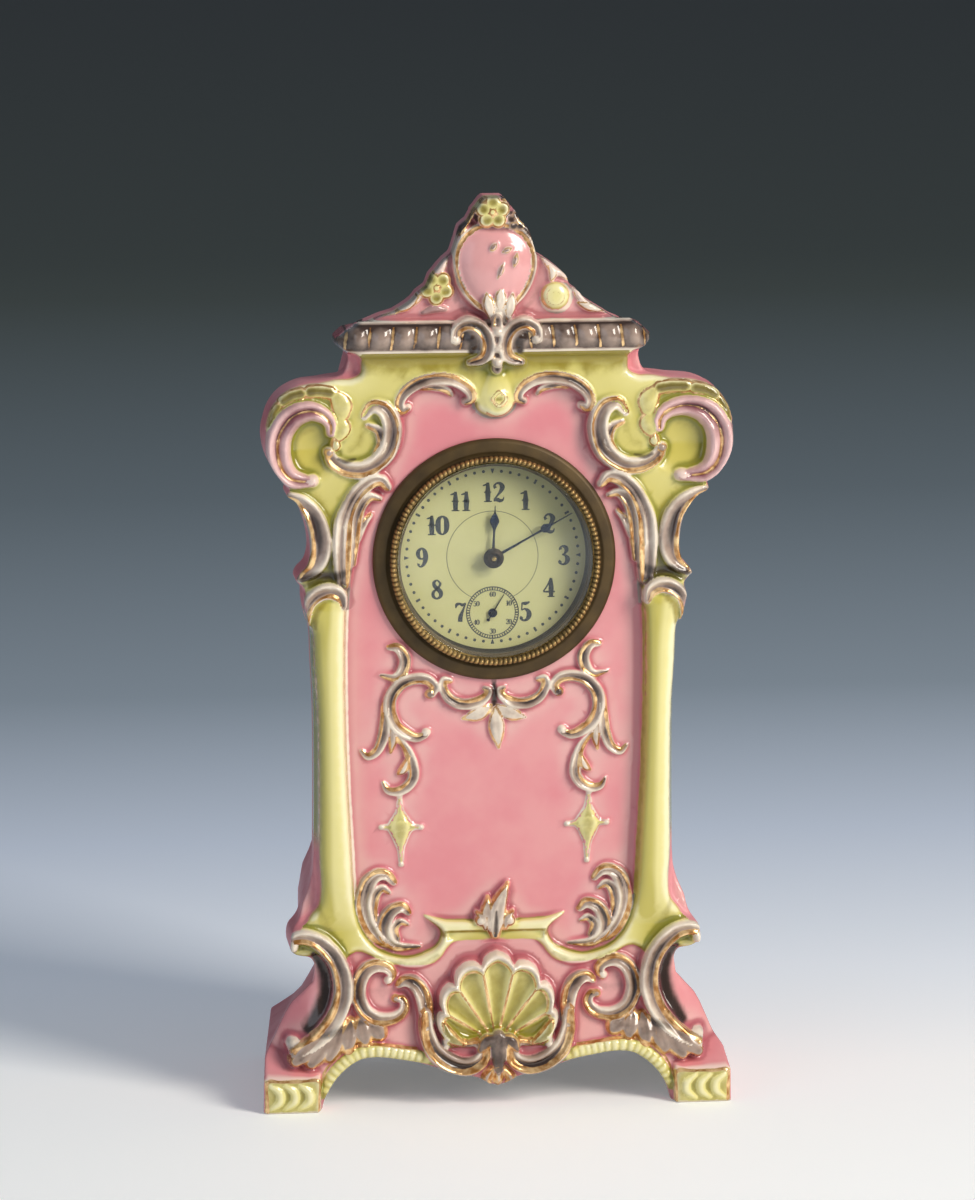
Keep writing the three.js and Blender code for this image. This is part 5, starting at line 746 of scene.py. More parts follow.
# Above this many points a skin is closed and faces out as it comes from its field.
FIELD_SKIN = 100000


def mesh_piece(name, points, faces, material, body, slot, replaces=(), smooth=True, weld=False):
    """A mesh piece in metres from points in millimetres, riding on its body."""
    mesh = bpy.data.meshes.new(name)
    mesh.from_pydata((np.asarray(points, float) * MM).tolist(), [], faces)
    mesh.validate()
    if weld or len(points) < FIELD_SKIN:
        shape = bmesh.new()
        shape.from_mesh(mesh)
        bmesh.ops.remove_doubles(shape, verts=shape.verts, dist=1e-7 if weld else 0.0)
        bmesh.ops.recalc_face_normals(shape, faces=shape.faces)
        shape.to_mesh(mesh)
        shape.free()
    mesh.polygons.foreach_set("use_smooth", [smooth] * len(mesh.polygons))
    mesh.update()
    piece = bpy.data.objects.new(name, mesh)
    bpy.context.collection.objects.link(piece)
    mesh.materials.append(material)
    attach(piece, body)
    if replaces:
        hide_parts(*replaces)
    return piece


# Materials: colours, nodes and the glaze of the case.


def hex_colour(code):
    """An sRGB hex colour as linear RGBA."""
    parts = [int(code[i:i + 2], 16) / 255 for i in (1, 3, 5)]
    return [c / 12.92 if c <= 0.04045 else ((c + 0.055) / 1.055) ** 2.4 for c in parts] + [1.0]


def new_material(name):
    """An empty material."""
    material = bpy.data.materials.new(name)
    material.use_nodes = True
    material.node_tree.nodes.clear()
    return material


def pattern(size):
    """The scale of a noise whose blotches are that many millimetres across."""
    return 1 / (size * MM)


def add_node(material, kind, links=None, out=0, **settings):
    """Adds a node with its settings and links, which hold values or outputs; gives one of its outputs."""
    node = material.node_tree.nodes.new(kind)
    for name, value in settings.items():
        setattr(node, name, value)
    for socket, value in (links or {}).items():
        if isinstance(value, bpy.types.NodeSocket):
            material.node_tree.links.new(value, node.inputs[socket])
        else:
            node.inputs[socket].default_value = value
    return node.outputs[out] if len(node.outputs) else None


def set_stops(tint, stops):
    """Puts the colours of a ramp at their places."""
    elements = tint.node.color_ramp.elements
    for k, (at, code) in enumerate(stops):
        stop = elements[k] if k < 2 else elements.new(at)
        stop.position = at
        stop.color = hex_colour(code)


# What each point of the case tells its glaze.
GLAZE_LAYERS = ("green", "cover", "tone", "blush", "gold", "crest", "hollow", "pool", "haze", "dusk",
                "thick", "front", "bare")


def glaze_over(m, under, over, layer, start, full, most=1.0, ragged=None, fray=0.0):
    """One glaze over another: none where its layer is at start, most where it is full, its border frayed."""
    if ragged is not None:
        layer = add_node(m, "ShaderNodeMath", {0: ragged, 1: fray, 2: layer}, operation="MULTIPLY_ADD")
    share = add_node(m, "ShaderNodeMapRange", {
        "Value": layer, "From Min": start, "From Max": full, "To Max": most},
        interpolation_type="SMOOTHSTEP")
    under, over = (hex_colour(glaze) if isinstance(glaze, str) else glaze for glaze in (under, over))
    return add_node(m, "ShaderNodeMix", {0: share, 6: under, 7: over}, out=2, data_type="RGBA")


def glazed_porcelain():
    """Slip-cast white earthenware under coloured majolica glazes: wet gloss, colour thin and pale over edges,
    partly as painted highlight, deep where it pooled and in creases, partly as painted shade, gilding brushed
    over the glaze and rubbed thin."""
    m = new_material("glazed_porcelain")
    place = add_node(m, "ShaderNodeNewGeometry", out="Position")
    lies = {name: add_node(m, "ShaderNodeAttribute", out="Fac", attribute_name=name)
            for name in GLAZE_LAYERS}

    # Brush strokes 2.4 mm wide, clouds of thicker glaze 14 mm, streaks 4.8 mm and ripples 3.8 mm.
    brush, cloud, streak, ripple = (add_node(m, "ShaderNodeTexNoise", {
        "Vector": place, "Scale": pattern(size), "Detail": detail}, out="Fac")
        for size, detail in ((2.4, 4.0), (14, 3.0), (4.8, 3.0), (3.8, 2.0)))
    ragged = add_node(m, "ShaderNodeMath", {0: brush, 1: 0.5}, operation="SUBTRACT")
    uneven = add_node(m, "ShaderNodeMath", {0: streak, 1: 0.5}, operation="SUBTRACT")

    # Pink: paler in a haze and on edges, deeper where it pools and in creases, the pools and creases partly
    # painted shade.
    pink = glaze_over(m, "#DE8990", "#E3999B", cloud, 0.3, 0.7)
    pink = glaze_over(m, pink, "#E3BDB6", lies["haze"], 0.02, 0.3, most=0.5)
    pink = glaze_over(m, pink, "#EFCFC4", lies["crest"], 0.05, 0.5)
    pink = glaze_over(m, pink, "#CC6B78", lies["pool"], 0.05, 0.5, most=0.7)
    pink = glaze_over(m, pink, "#A24C56", lies["crest"], -0.12, -0.7, most=0.6)

    # Lime: paler where it runs thin, olive in hollows, in creases and where it ran thick; the olive in
    # hollows and creases is partly painted shade, and on the left of each column wholly painted shade.
    lime = glaze_over(m, "#C6BB5C", "#E5DC92", lies["hollow"], -1.2, 0.8)
    lime = glaze_over(m, lime, "#F3EEC4", lies["crest"], 0.06, 0.6, most=0.85, ragged=ragged, fray=0.3)
    lime = glaze_over(m, lime, "#7F7F26", lies["crest"], -0.08, -0.5, most=0.85)
    lime = glaze_over(m, lime, "#8E7E1F", lies["thick"], 0.08, 1.0, most=0.92, ragged=ragged, fray=0.6)

    # Grey-white of the scrolls: brown where it lies deep, partly painted shade, rosy on some of them, dark in
    # creases as painted shade.
    shaded = add_node(m, "ShaderNodeMath", {0: uneven, 1: 0.8, 2: lies["tone"]}, operation="MULTIPLY_ADD")
    grey = glaze_over(m, "#3E2D26", "#A69183", shaded, 0.0, 0.5)
    grey = glaze_over(m, grey, "#ECDFCD", shaded, 0.45, 1.0)
    rosy = glaze_over(m, "#7E4A54", "#E6BEBB", shaded, 0.1, 1.0)
    grey = add_node(m, "ShaderNodeMix", {0: lies["blush"], 6: grey, 7: rosy}, out=2, data_type="RGBA")
    grey = glaze_over(m, grey, "#4A3A3C", lies["crest"], -0.1, -0.7, most=0.7)

    # Pink ground, lime frame, grey scrolls and dark runs on the front, the runs partly painted shade; plain
    # sides in a darker pink that is partly painted shade; bare inside.
    front = glaze_over(m, pink, lime, lies["green"], -0.15, 0.25, ragged=ragged, fray=0.5)
    front = glaze_over(m, front, grey, lies["cover"], -0.1, 0.3, ragged=ragged, fray=0.4)
    front = glaze_over(m, front, "#35261E", lies["dusk"], 0.05, 0.95, ragged=ragged, fray=0.35)
    sides = glaze_over(m, "#D07B82", "#DC949A", cloud, 0.3, 0.7)
    colour = add_node(m, "ShaderNodeMix", {0: lies["front"], 6: sides, 7: front}, out=2, data_type="RGBA")
    biscuit = hex_colour("#D9CDBF")
    colour = add_node(m, "ShaderNodeMix", {0: lies["bare"], 6: colour, 7: biscuit}, out=2, data_type="RGBA")

    # Gilding over the glaze, worn by the brush marks; the same marks turn the gold from dark to bright, a
    # painted reflection.
    rubbed = add_node(m, "ShaderNodeMath", {0: ragged, 1: 0.7, 2: lies["gold"]}, operation="MULTIPLY_ADD")
    gilt = add_node(m, "ShaderNodeMapRange", {"Value": rubbed, "From Min": -0.02, "From Max": 0.2},
                    interpolation_type="SMOOTHSTEP")
    gilt = add_node(m, "ShaderNodeMath", {0: gilt, 1: lies["front"]}, operation="MULTIPLY")
    gold = glaze_over(m, "#B07636", "#FFD79C", brush, 0.35, 0.7)
    colour = add_node(m, "ShaderNodeMix", {0: gilt, 6: colour, 7: gold}, out=2, data_type="RGBA")
    metallic = add_node(m, "ShaderNodeMath", {0: gilt, 1: 0.55}, operation="MULTIPLY")

    # The front is glossiest, the sides are duller, and the unglazed inside is matt.
    gloss = add_node(m, "ShaderNodeMapRange", {
        "Value": brush, "From Min": 0.3, "From Max": 0.7, "To Min": 0.12, "To Max": 0.2},
        interpolation_type="SMOOTHSTEP")
    duller = add_node(m, "ShaderNodeMapRange", {"Value": lies["front"], "To Min": 0.3, "To Max": 0.0},
                      interpolation_type="SMOOTHSTEP")
    rough = add_node(m, "ShaderNodeMath", {0: lies["bare"], 1: 0.5, 2: gloss}, operation="MULTIPLY_ADD")
    rough = add_node(m, "ShaderNodeMath", {0: rough, 1: duller}, operation="ADD")
    wet = add_node(m, "ShaderNodeMath", {0: lies["front"], 1: 0.35}, operation="MULTIPLY")
    bump = add_node(m, "ShaderNodeBump", {"Strength": 0.05, "Distance": 0.0006, "Height": ripple})
    shader = add_node(m, "ShaderNodeBsdfPrincipled", {
        "Base Color": colour, "Roughness": rough, "Metallic": metallic, "IOR": 1.52, "Coat Weight": wet,
        "Coat Roughness": 0.06, "Normal": bump})
    add_node(m, "ShaderNodeOutputMaterial", {"Surface": shader})
    return m


# The glazed case: its mesh, and what the maps give each of its points.
porcelain = glazed_porcelain()
case_points, triangles, quads = cast_body()
case_faces = [tuple(face) for part in (triangles, quads) for face in part[:, ::-1].tolist()]
case = mesh_piece("glazed_case", case_points, case_faces, porcelain, "case", "porcelain", ["porcelain_case"])
case_x, case_y, case_z = case_points.T

# How far each point lies behind the front, read near an edge from the highest of the cells round it.
EDGE_CELLS = 6
edge_level = cast.copy()
for cells in range(1, EDGE_CELLS + 1):
    for axis in (0, 1):
        for direction in (-1, 1):
            edge_level = np.maximum(edge_level, np.roll(cast, direction * cells, axis=axis))
edge_level = soften(edge_level, 1.2)
outline = sample(np.minimum(np.minimum(frame_edge, pediment_edge), cornice_edge), case_points)
on_edge = (outline > -0.5) & (case_z > 42)
behind = case_y + np.where(on_edge, sample(edge_level, case_points), sample(cast, case_points))
on_front = np.clip((1.8 - behind) / 1.2, 0, 1)

# The front's glazes run on round the cornice's ends, the gable's edge and the columns' sides.
on_cornice_end = (np.abs(case_z - 200.6) < 4.6) * (np.abs(case_x) > 33) * ease(-10, -13, case_y)
on_gable_edge = (case_z > 203.5) * ease(-15.5, -19.5, case_y)
on_column_side = ease(66, 74, case_z) * (case_z < 130) * (np.abs(case_x) > 43) * ease(-14, -19, case_y)
on_front = np.maximum(np.maximum(on_front, on_column_side), np.maximum(on_cornice_end, on_gable_edge))

# The inside and the foot's underside are bare.
NEAR_WALL = 0.8
apron_at = np.interp(case_z, FLARE_Z, FLARE_OUT)
drawn_in = np.interp(case_z, DRAFT_Z, DRAFT) * (case_y + apron_at) / (BACK + apron_at)
lining_at = np.minimum(apron_at, sample(lining, case_points))
inside_wall = ((np.abs(case_x) < np.interp(case_z, SIDE_Z, SIDE_HALF) - WALL + NEAR_WALL - drawn_in)
               & (case_y > -lining_at + WALL - NEAR_WALL) & (case_y < BACK - WALL + NEAR_WALL)
               & (case_z < ROOF - WALL - CEILING_DROP + NEAR_WALL))
bare = np.clip(inside_wall.astype(float) + (case_z < 0.25), 0, 1)

maps.update(crest=crest, hollow=hollow, pool=pool, haze=haze)
at_points = {name: sample(maps[name], case_points) for name in GLAZE_LAYERS if name in maps}
at_points.update(front=on_front, bare=bare)
for name in ("crest", "hollow"):
    at_points[name] = at_points[name] * on_front
for name in GLAZE_LAYERS:
    layer = case.data.attributes.new(name, "FLOAT", "POINT")
    layer.data.foreach_set("value", at_points[name].astype(np.float32))


# Smaller pieces: turned and stamped metal, glass, printed dial and hands.


def softened(profile, corner):
    """A closed profile with its corners rounded."""
    out = []
    for k in range(len(profile)):
        a, b, c = (np.array(profile[(k + d) % len(profile)], float) for d in (-1, 0, 1))
        before = b + (a - b) * min(0.45, corner / max(np.linalg.norm(a - b), 1e-6))
        after = b + (c - b) * min(0.45, corner / max(np.linalg.norm(c - b), 1e-6))
        if b[0] < 1e-6:
            out.append(b)
            continue
        out += [(1 - t) ** 2 * before + 2 * t * (1 - t) * b + t * t * after for t in (0, 0.25, 0.5, 0.75, 1)]
    return np.array(out)


def around(sections):
    """Points and faces of a closed skin over rings of points that run round and meet again."""
    rows, columns = sections.shape[:2]
    index = np.arange(rows * columns).reshape(rows, columns)
    right_of, below = np.roll(index, -1, axis=1), np.roll(index, -1, axis=0)
    faces = np.stack([index, right_of, np.roll(right_of, -1, axis=0), below], axis=-1).reshape(-1, 4)
    return sections.reshape(-1, 3), faces.tolist()


def turned(name, profile, material, body, slot, replaces=(), x=0.0, z=DIAL_Z, steps=160, corner=0.25):
    """A piece turned about a line along y; the profile lists radius and y."""
    ring = softened(profile, corner)
    angle = np.linspace(0, 2 * math.pi, steps, endpoint=False)[:, None]
    sections = np.stack([x + ring[:, 0] * np.cos(angle), np.broadcast_to(ring[:, 1], (steps, len(ring))),
                         z + ring[:, 0] * np.sin(angle)], axis=-1)
    points, faces = around(sections)
    return mesh_piece(name, points, faces, material, body, slot, replaces, weld=True)


def strip(line, y_back, y_front, spans=5):
    """Points and faces of a flat bar along a line of x, z and half width."""
    run = through(line, spans)
    step = np.gradient(run[:, :2], axis=0)
    length = np.maximum(np.linalg.norm(step, axis=1), 1e-9)[:, None]
    normal = np.stack([-step[:, 1], step[:, 0]], axis=1) / length
    half = np.maximum(run[:, 2:3], 0.02)
    left, right_side = run[:, :2] + normal * half, run[:, :2] - normal * half
    corners = [np.insert(edge, 1, y, axis=1) for edge, y in
               ((left, y_back), (right_side, y_back), (right_side, y_front), (left, y_front))]
    points = np.stack(corners, axis=1).reshape(-1, 3)
    faces = [[4 * k + a, 4 * k + 4 + a, 4 * k + 4 + (a + 1) % 4, 4 * k + (a + 1) % 4]
             for k in range(len(run) - 1) for a in range(4)]
    last = 4 * len(run) - 4
    return points, faces + [[0, 1, 2, 3], [last + 3, last + 2, last + 1, last]]


def joined(parts):
    """Several points-and-faces pairs as one."""
    points, faces = [], []
    for some_points, some_faces in parts:
        faces += [[len(points) + i for i in face] for face in some_faces]
        points += list(map(tuple, some_points))
    return points, faces


def disc(x, z, radius, y_back, y_front, sides=14):
    """Points and faces of a flat round plate."""
    ring = [(x + radius * math.cos(a), z + radius * math.sin(a))
            for a in np.linspace(0, 2 * math.pi, sides, endpoint=False)]
    points = [(px, y, pz) for y in (y_back, y_front) for px, pz in ring]
    faces = [[k, (k + 1) % sides, sides + (k + 1) % sides, sides + k] for k in range(sides)]
    return points, faces + [list(range(sides))[::-1], list(range(sides, 2 * sides))]


def aged_bronze():
    """Stamped sheet brass, bronzed and handled for a century: dull olive brown, lighter in patches."""
    m = new_material("aged_bronze")
    place = add_node(m, "ShaderNodeNewGeometry", out="Position")
    # Patina in patches 6.2 mm across; pits finer than 0.3 mm are drawn 1.1 mm wide so that they show.
    patina, spots = (add_node(m, "ShaderNodeTexNoise", {
        "Vector": place, "Scale": pattern(size), "Detail": detail}, out="Fac")
        for size, detail in ((6.2, 6.0), (1.1, 3.0)))
    tint = add_node(m, "ShaderNodeValToRGB", {"Fac": patina}, out="Color")
    set_stops(tint, ((0.3, "#42331B"), (0.72, "#5A4726")))
    rough = add_node(m, "ShaderNodeMapRange", {"Value": spots, "To Min": 0.42, "To Max": 0.6})
    bump = add_node(m, "ShaderNodeBump", {"Strength": 0.15, "Distance": 0.0002, "Height": spots})
    shader = add_node(m, "ShaderNodeBsdfPrincipled", {
        "Base Color": tint, "Metallic": 0.4, "Roughness": rough, "Normal": bump})
    add_node(m, "ShaderNodeOutputMaterial", {"Surface": shader})
    return m


def worked_metal(name, dark, light, roughness, marks_size, stretch=(1.0, 1.0, 1.0)):
    """Rolled and machined metal: brush marks along one way, slightly dulled by handling. Real marks are finer
    than 0.1 mm; marks_size, in millimetres, draws them coarse enough to show."""
    m = new_material(name)
    place = add_node(m, "ShaderNodeNewGeometry", out="Position")
    drawn = add_node(m, "ShaderNodeVectorMath", {0: place, 1: stretch}, operation="MULTIPLY")
    marks = add_node(m, "ShaderNodeTexNoise", {
        "Vector": drawn, "Scale": pattern(marks_size), "Detail": 5.0}, out="Fac")
    tint = add_node(m, "ShaderNodeMix", {
        0: marks, 6: hex_colour(dark), 7: hex_colour(light)}, out=2, data_type="RGBA")
    rough = add_node(m, "ShaderNodeMapRange", {
        "Value": marks, "To Min": roughness * 0.75, "To Max": roughness * 1.3})
    bump = add_node(m, "ShaderNodeBump", {"Strength": 0.06, "Distance": 0.0001, "Height": marks})
    shader = add_node(m, "ShaderNodeBsdfPrincipled", {
        "Base Color": tint, "Metallic": 1.0, "Roughness": rough, "Normal": bump})
    add_node(m, "ShaderNodeOutputMaterial", {"Surface": shader})
    return m


def beaded_brass():
    """Rolled brass wire, once gilt: beads rubbed bright, old brown lacquer left in the gaps between them."""
    m = new_material("beaded_brass")
    place = add_node(m, "ShaderNodeNewGeometry", out="Position")
    # Stains about three beads, 4.2 mm, across.
    stain = add_node(m, "ShaderNodeTexNoise", {
        "Vector": place, "Scale": pattern(4.2), "Detail": 4.0}, out="Fac")
    rubbed = add_node(m, "ShaderNodeAttribute", out="Fac", attribute_name="rubbed")
    worn = add_node(m, "ShaderNodeMath", {0: rubbed, 1: stain}, operation="MULTIPLY")
    tint = add_node(m, "ShaderNodeValToRGB", {"Fac": worn}, out="Color")
    set_stops(tint, ((0.1, "#3A2A16"), (0.5, "#B0925E")))
    rough = add_node(m, "ShaderNodeMapRange", {"Value": worn, "To Min": 0.5, "To Max": 0.3})
    shader = add_node(m, "ShaderNodeBsdfPrincipled", {
        "Base Color": tint, "Metallic": 0.75, "Roughness": rough})
    add_node(m, "ShaderNodeOutputMaterial", {"Surface": shader})
    return m


def sheet_glass():
    """Cut flat window glass: clear, with a faint film of dust, letting light through to the dial."""
    m = new_material("sheet_glass")
    pale = hex_colour("#F4F8F4")
    place = add_node(m, "ShaderNodeNewGeometry", out="Position")
    # Film wiped in patches 8.3 mm wide.
    film = add_node(m, "ShaderNodeTexNoise", {
        "Vector": place, "Scale": pattern(8.3), "Detail": 4.0}, out="Fac")
    rough = add_node(m, "ShaderNodeMapRange", {
        "Value": film, "From Min": 0.4, "From Max": 0.8, "To Min": 0.0, "To Max": 0.05})
    clear = add_node(m, "ShaderNodeBsdfPrincipled", {
        "Base Color": pale, "Roughness": rough, "IOR": 1.5, "Transmission Weight": 1.0})
    let_through = add_node(m, "ShaderNodeBsdfTransparent", {"Color": pale})
    shadow = add_node(m, "ShaderNodeLightPath", out="Is Shadow Ray")
    both = add_node(m, "ShaderNodeMixShader", {0: shadow, 1: clear, 2: let_through})
    add_node(m, "ShaderNodeOutputMaterial", {"Surface": both})
    return m


def dial_card():
    """Cream enamelled card: even matt cream, yellowed in soft clouds, a little browner towards its border,
    partly with age and partly as painted shade under the sight wall.
    """
    m = new_material("dial_card")
    place = add_node(m, "ShaderNodeNewGeometry", out="Position")
    middle = (0.0, DIAL_FACE * MM, DIAL_Z * MM)
    away = add_node(m, "ShaderNodeVectorMath", {0: place, 1: middle}, out="Value", operation="DISTANCE")
    # Clouds 11 mm wide; the border browns from 19 to 26 mm out, partly with age and partly as painted shade
    # under the sight wall.
    cloud = add_node(m, "ShaderNodeTexNoise", {
        "Vector": place, "Scale": pattern(11), "Detail": 4.0}, out="Fac")
    cream = add_node(m, "ShaderNodeMix", {
        0: cloud, 6: hex_colour("#B5AE7C"), 7: hex_colour("#C2BB8F")}, out=2, data_type="RGBA")
    edge = add_node(m, "ShaderNodeMapRange", {
        "Value": away, "From Min": 0.019, "From Max": 0.026, "To Max": 0.5})
    tint = add_node(m, "ShaderNodeMix", {
        0: edge, 6: cream, 7: hex_colour("#A89A62")}, out=2, data_type="RGBA")
    shader = add_node(m, "ShaderNodeBsdfPrincipled", {"Base Color": tint, "Roughness": 0.5})
    add_node(m, "ShaderNodeOutputMaterial", {"Surface": shader})
    return m


def printing_ink():
    """Oil printing ink: blue-black and nearly matt, a little thinner in places."""
    m = new_material("printing_ink")
    place = add_node(m, "ShaderNodeNewGeometry", out="Position")
    # The grain of the print is about 0.1 mm and is drawn 0.67 mm wide so that it shows.
    grain = add_node(m, "ShaderNodeTexNoise", {
        "Vector": place, "Scale": pattern(0.67), "Detail": 2.0}, out="Fac")
    tint = add_node(m, "ShaderNodeMix", {
        0: grain, 6: hex_colour("#1A202C"), 7: hex_colour("#343B47")}, out=2, data_type="RGBA")
    shader = add_node(m, "ShaderNodeBsdfPrincipled", {"Base Color": tint, "Roughness": 0.6})
    add_node(m, "ShaderNodeOutputMaterial", {"Surface": shader})
    return m


bronze = aged_bronze()
gilt_brass = worked_metal("gilt_brass", "#A98545", "#D8BC7C", 0.26, 3.3)
browned = worked_metal("browned_steel", "#221B16", "#3A2E24", 0.5, 2.5)
brass = worked_metal("rolled_brass", "#B48F45", "#D6B66C", 0.3, 3.8, (1.0, 1.0, 12.0))
steel = worked_metal("drawn_steel", "#8C8F94", "#B9BBBE", 0.28, 3.3, (8.0, 1.0, 1.0))
blued_steel = worked_metal("blued_steel", "#1D2436", "#2E3A55", 0.25, 2.0)
glass = sheet_glass()
card = dial_card()
ink = printing_ink()

SLOT_MATERIAL = {"porcelain": porcelain, "bronze": bronze, "gilt_brass": gilt_brass, "glass": glass,
                 "dial_paper": card, "brass": brass, "steel": steel, "blued_steel": blued_steel}
for part in frame["record"]["subparts"]:
    node = frame["nodes"][part["node"]]
    node.data.materials.clear()
    node.data.materials.append(SLOT_MATERIAL[part["material_slot"]])

# Bezel: bronzed flange, glass, the sight wall behind it and the lip that holds the glass.
turned("bronze_flange", [(31.4, -22.3), (31.4, -23), (30.6, -23.7), (28.2, -24.1), (27.6, -23.8),
                         (25.6, -23.8), (24.3, -23.8), (24.3, -22.3)],
       bronze, "case", "bronze", ["bezel_flange"], corner=0.35)
turned("glass_disc", [(0, -25.5), (25.2, -25.5), (25.2, -23.9), (0, -23.9)],
       glass, "case", "glass", ["glass"])
turned("sight_wall", [(26.2, -22.1), (24.6, -22.1), (24.2, -20), (23.6, -18.4), (26.2, -18.4)],
       browned, "case", "bronze", ["sight_ring"], corner=0.2)
turned("polished_lip", [(25.3, -24.2), (25.3, -24.9), (25.5, -25.2), (25.8, -24.9), (25.8, -24.2)],
       gilt_brass, "case", "gilt_brass", corner=0.12)

# Nut of the hands, and the tip of the arbor that stands out of it.
turned("hand_nut_cap", [(0, -21.5), (1.0, -21.5), (1.3, -21.8), (1.7, -21.8), (2.6, -21.1), (2.6, -20.5),
                        (0, -20.5)],
       browned, "minute_group", "bronze", ["hand_nut"], steps=64, corner=0.2)
turned("arbor_tip", [(0, -22.2), (0.5, -22.1), (0.7, -21.8), (0.7, -21.45), (0, -21.45)],
       gilt_brass, "minute_group", "gilt_brass", steps=32, corner=0.1)

# Winding arbor: turned steel, running free in the great wheel and the back plate.
arbor_low, arbor_high = (np.array(corner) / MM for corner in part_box("winding_arbor"))
arbor_start, arbor_end = arbor_low[1], arbor_high[1]
ARBOR_PIVOT = 1.4
PIVOT_RADIUS = 1.04
ARBOR_RADIUS = 1.72
arbor_shoulder = arbor_start + ARBOR_PIVOT
arbor_profile = [(0, arbor_start), (PIVOT_RADIUS, arbor_start), (PIVOT_RADIUS, arbor_shoulder),
                 (ARBOR_RADIUS, arbor_shoulder), (ARBOR_RADIUS, arbor_end), (0, arbor_end)]
turned("turned_winding_arbor", arbor_profile, steel, "winding_group", "steel", ["winding_arbor"],
       x=(arbor_low[0] + arbor_high[0]) / 2, z=(arbor_low[2] + arbor_high[2]) / 2, steps=48, corner=0.15)

# Beaded ring: a round wire, pinched between its beads on the side that faces out.
BEADS = 134
ROPE_RADIUS = 26.4
ROPE_Y = -25.2
round_dial = np.linspace(0, 2 * math.pi, BEADS * 9, endpoint=False)[:, None]
round_wire = np.linspace(0, 2 * math.pi, 18, endpoint=False)[None, :]
facing = np.clip(0.35 - np.sin(round_wire), 0, 1)
rope_bead = np.sqrt(np.abs(np.sin(round_dial * BEADS / 2 + 0.25 * np.cos(round_wire))))
swell = 1 - 0.42 * facing * (1 - rope_bead)
rope_reach = ROPE_RADIUS + 0.86 * np.cos(round_wire) * swell
rope_y = ROPE_Y + 1.65 * np.sin(round_wire) * np.where(np.sin(round_wire) < 0, swell, 0.9)
rope_sections = np.stack([rope_reach * np.cos(round_dial), rope_y * np.ones_like(round_dial),
                          DIAL_Z + rope_reach * np.sin(round_dial)], axis=-1)
rope = mesh_piece("beaded_ring", *around(rope_sections), beaded_brass(), "case", "gilt_brass", ["rope_ring"])
rubbed = rope.data.attributes.new("rubbed", "FLOAT", "POINT")
rubbed.data.foreach_set("value", (rope_bead * facing).ravel().astype(np.float32))

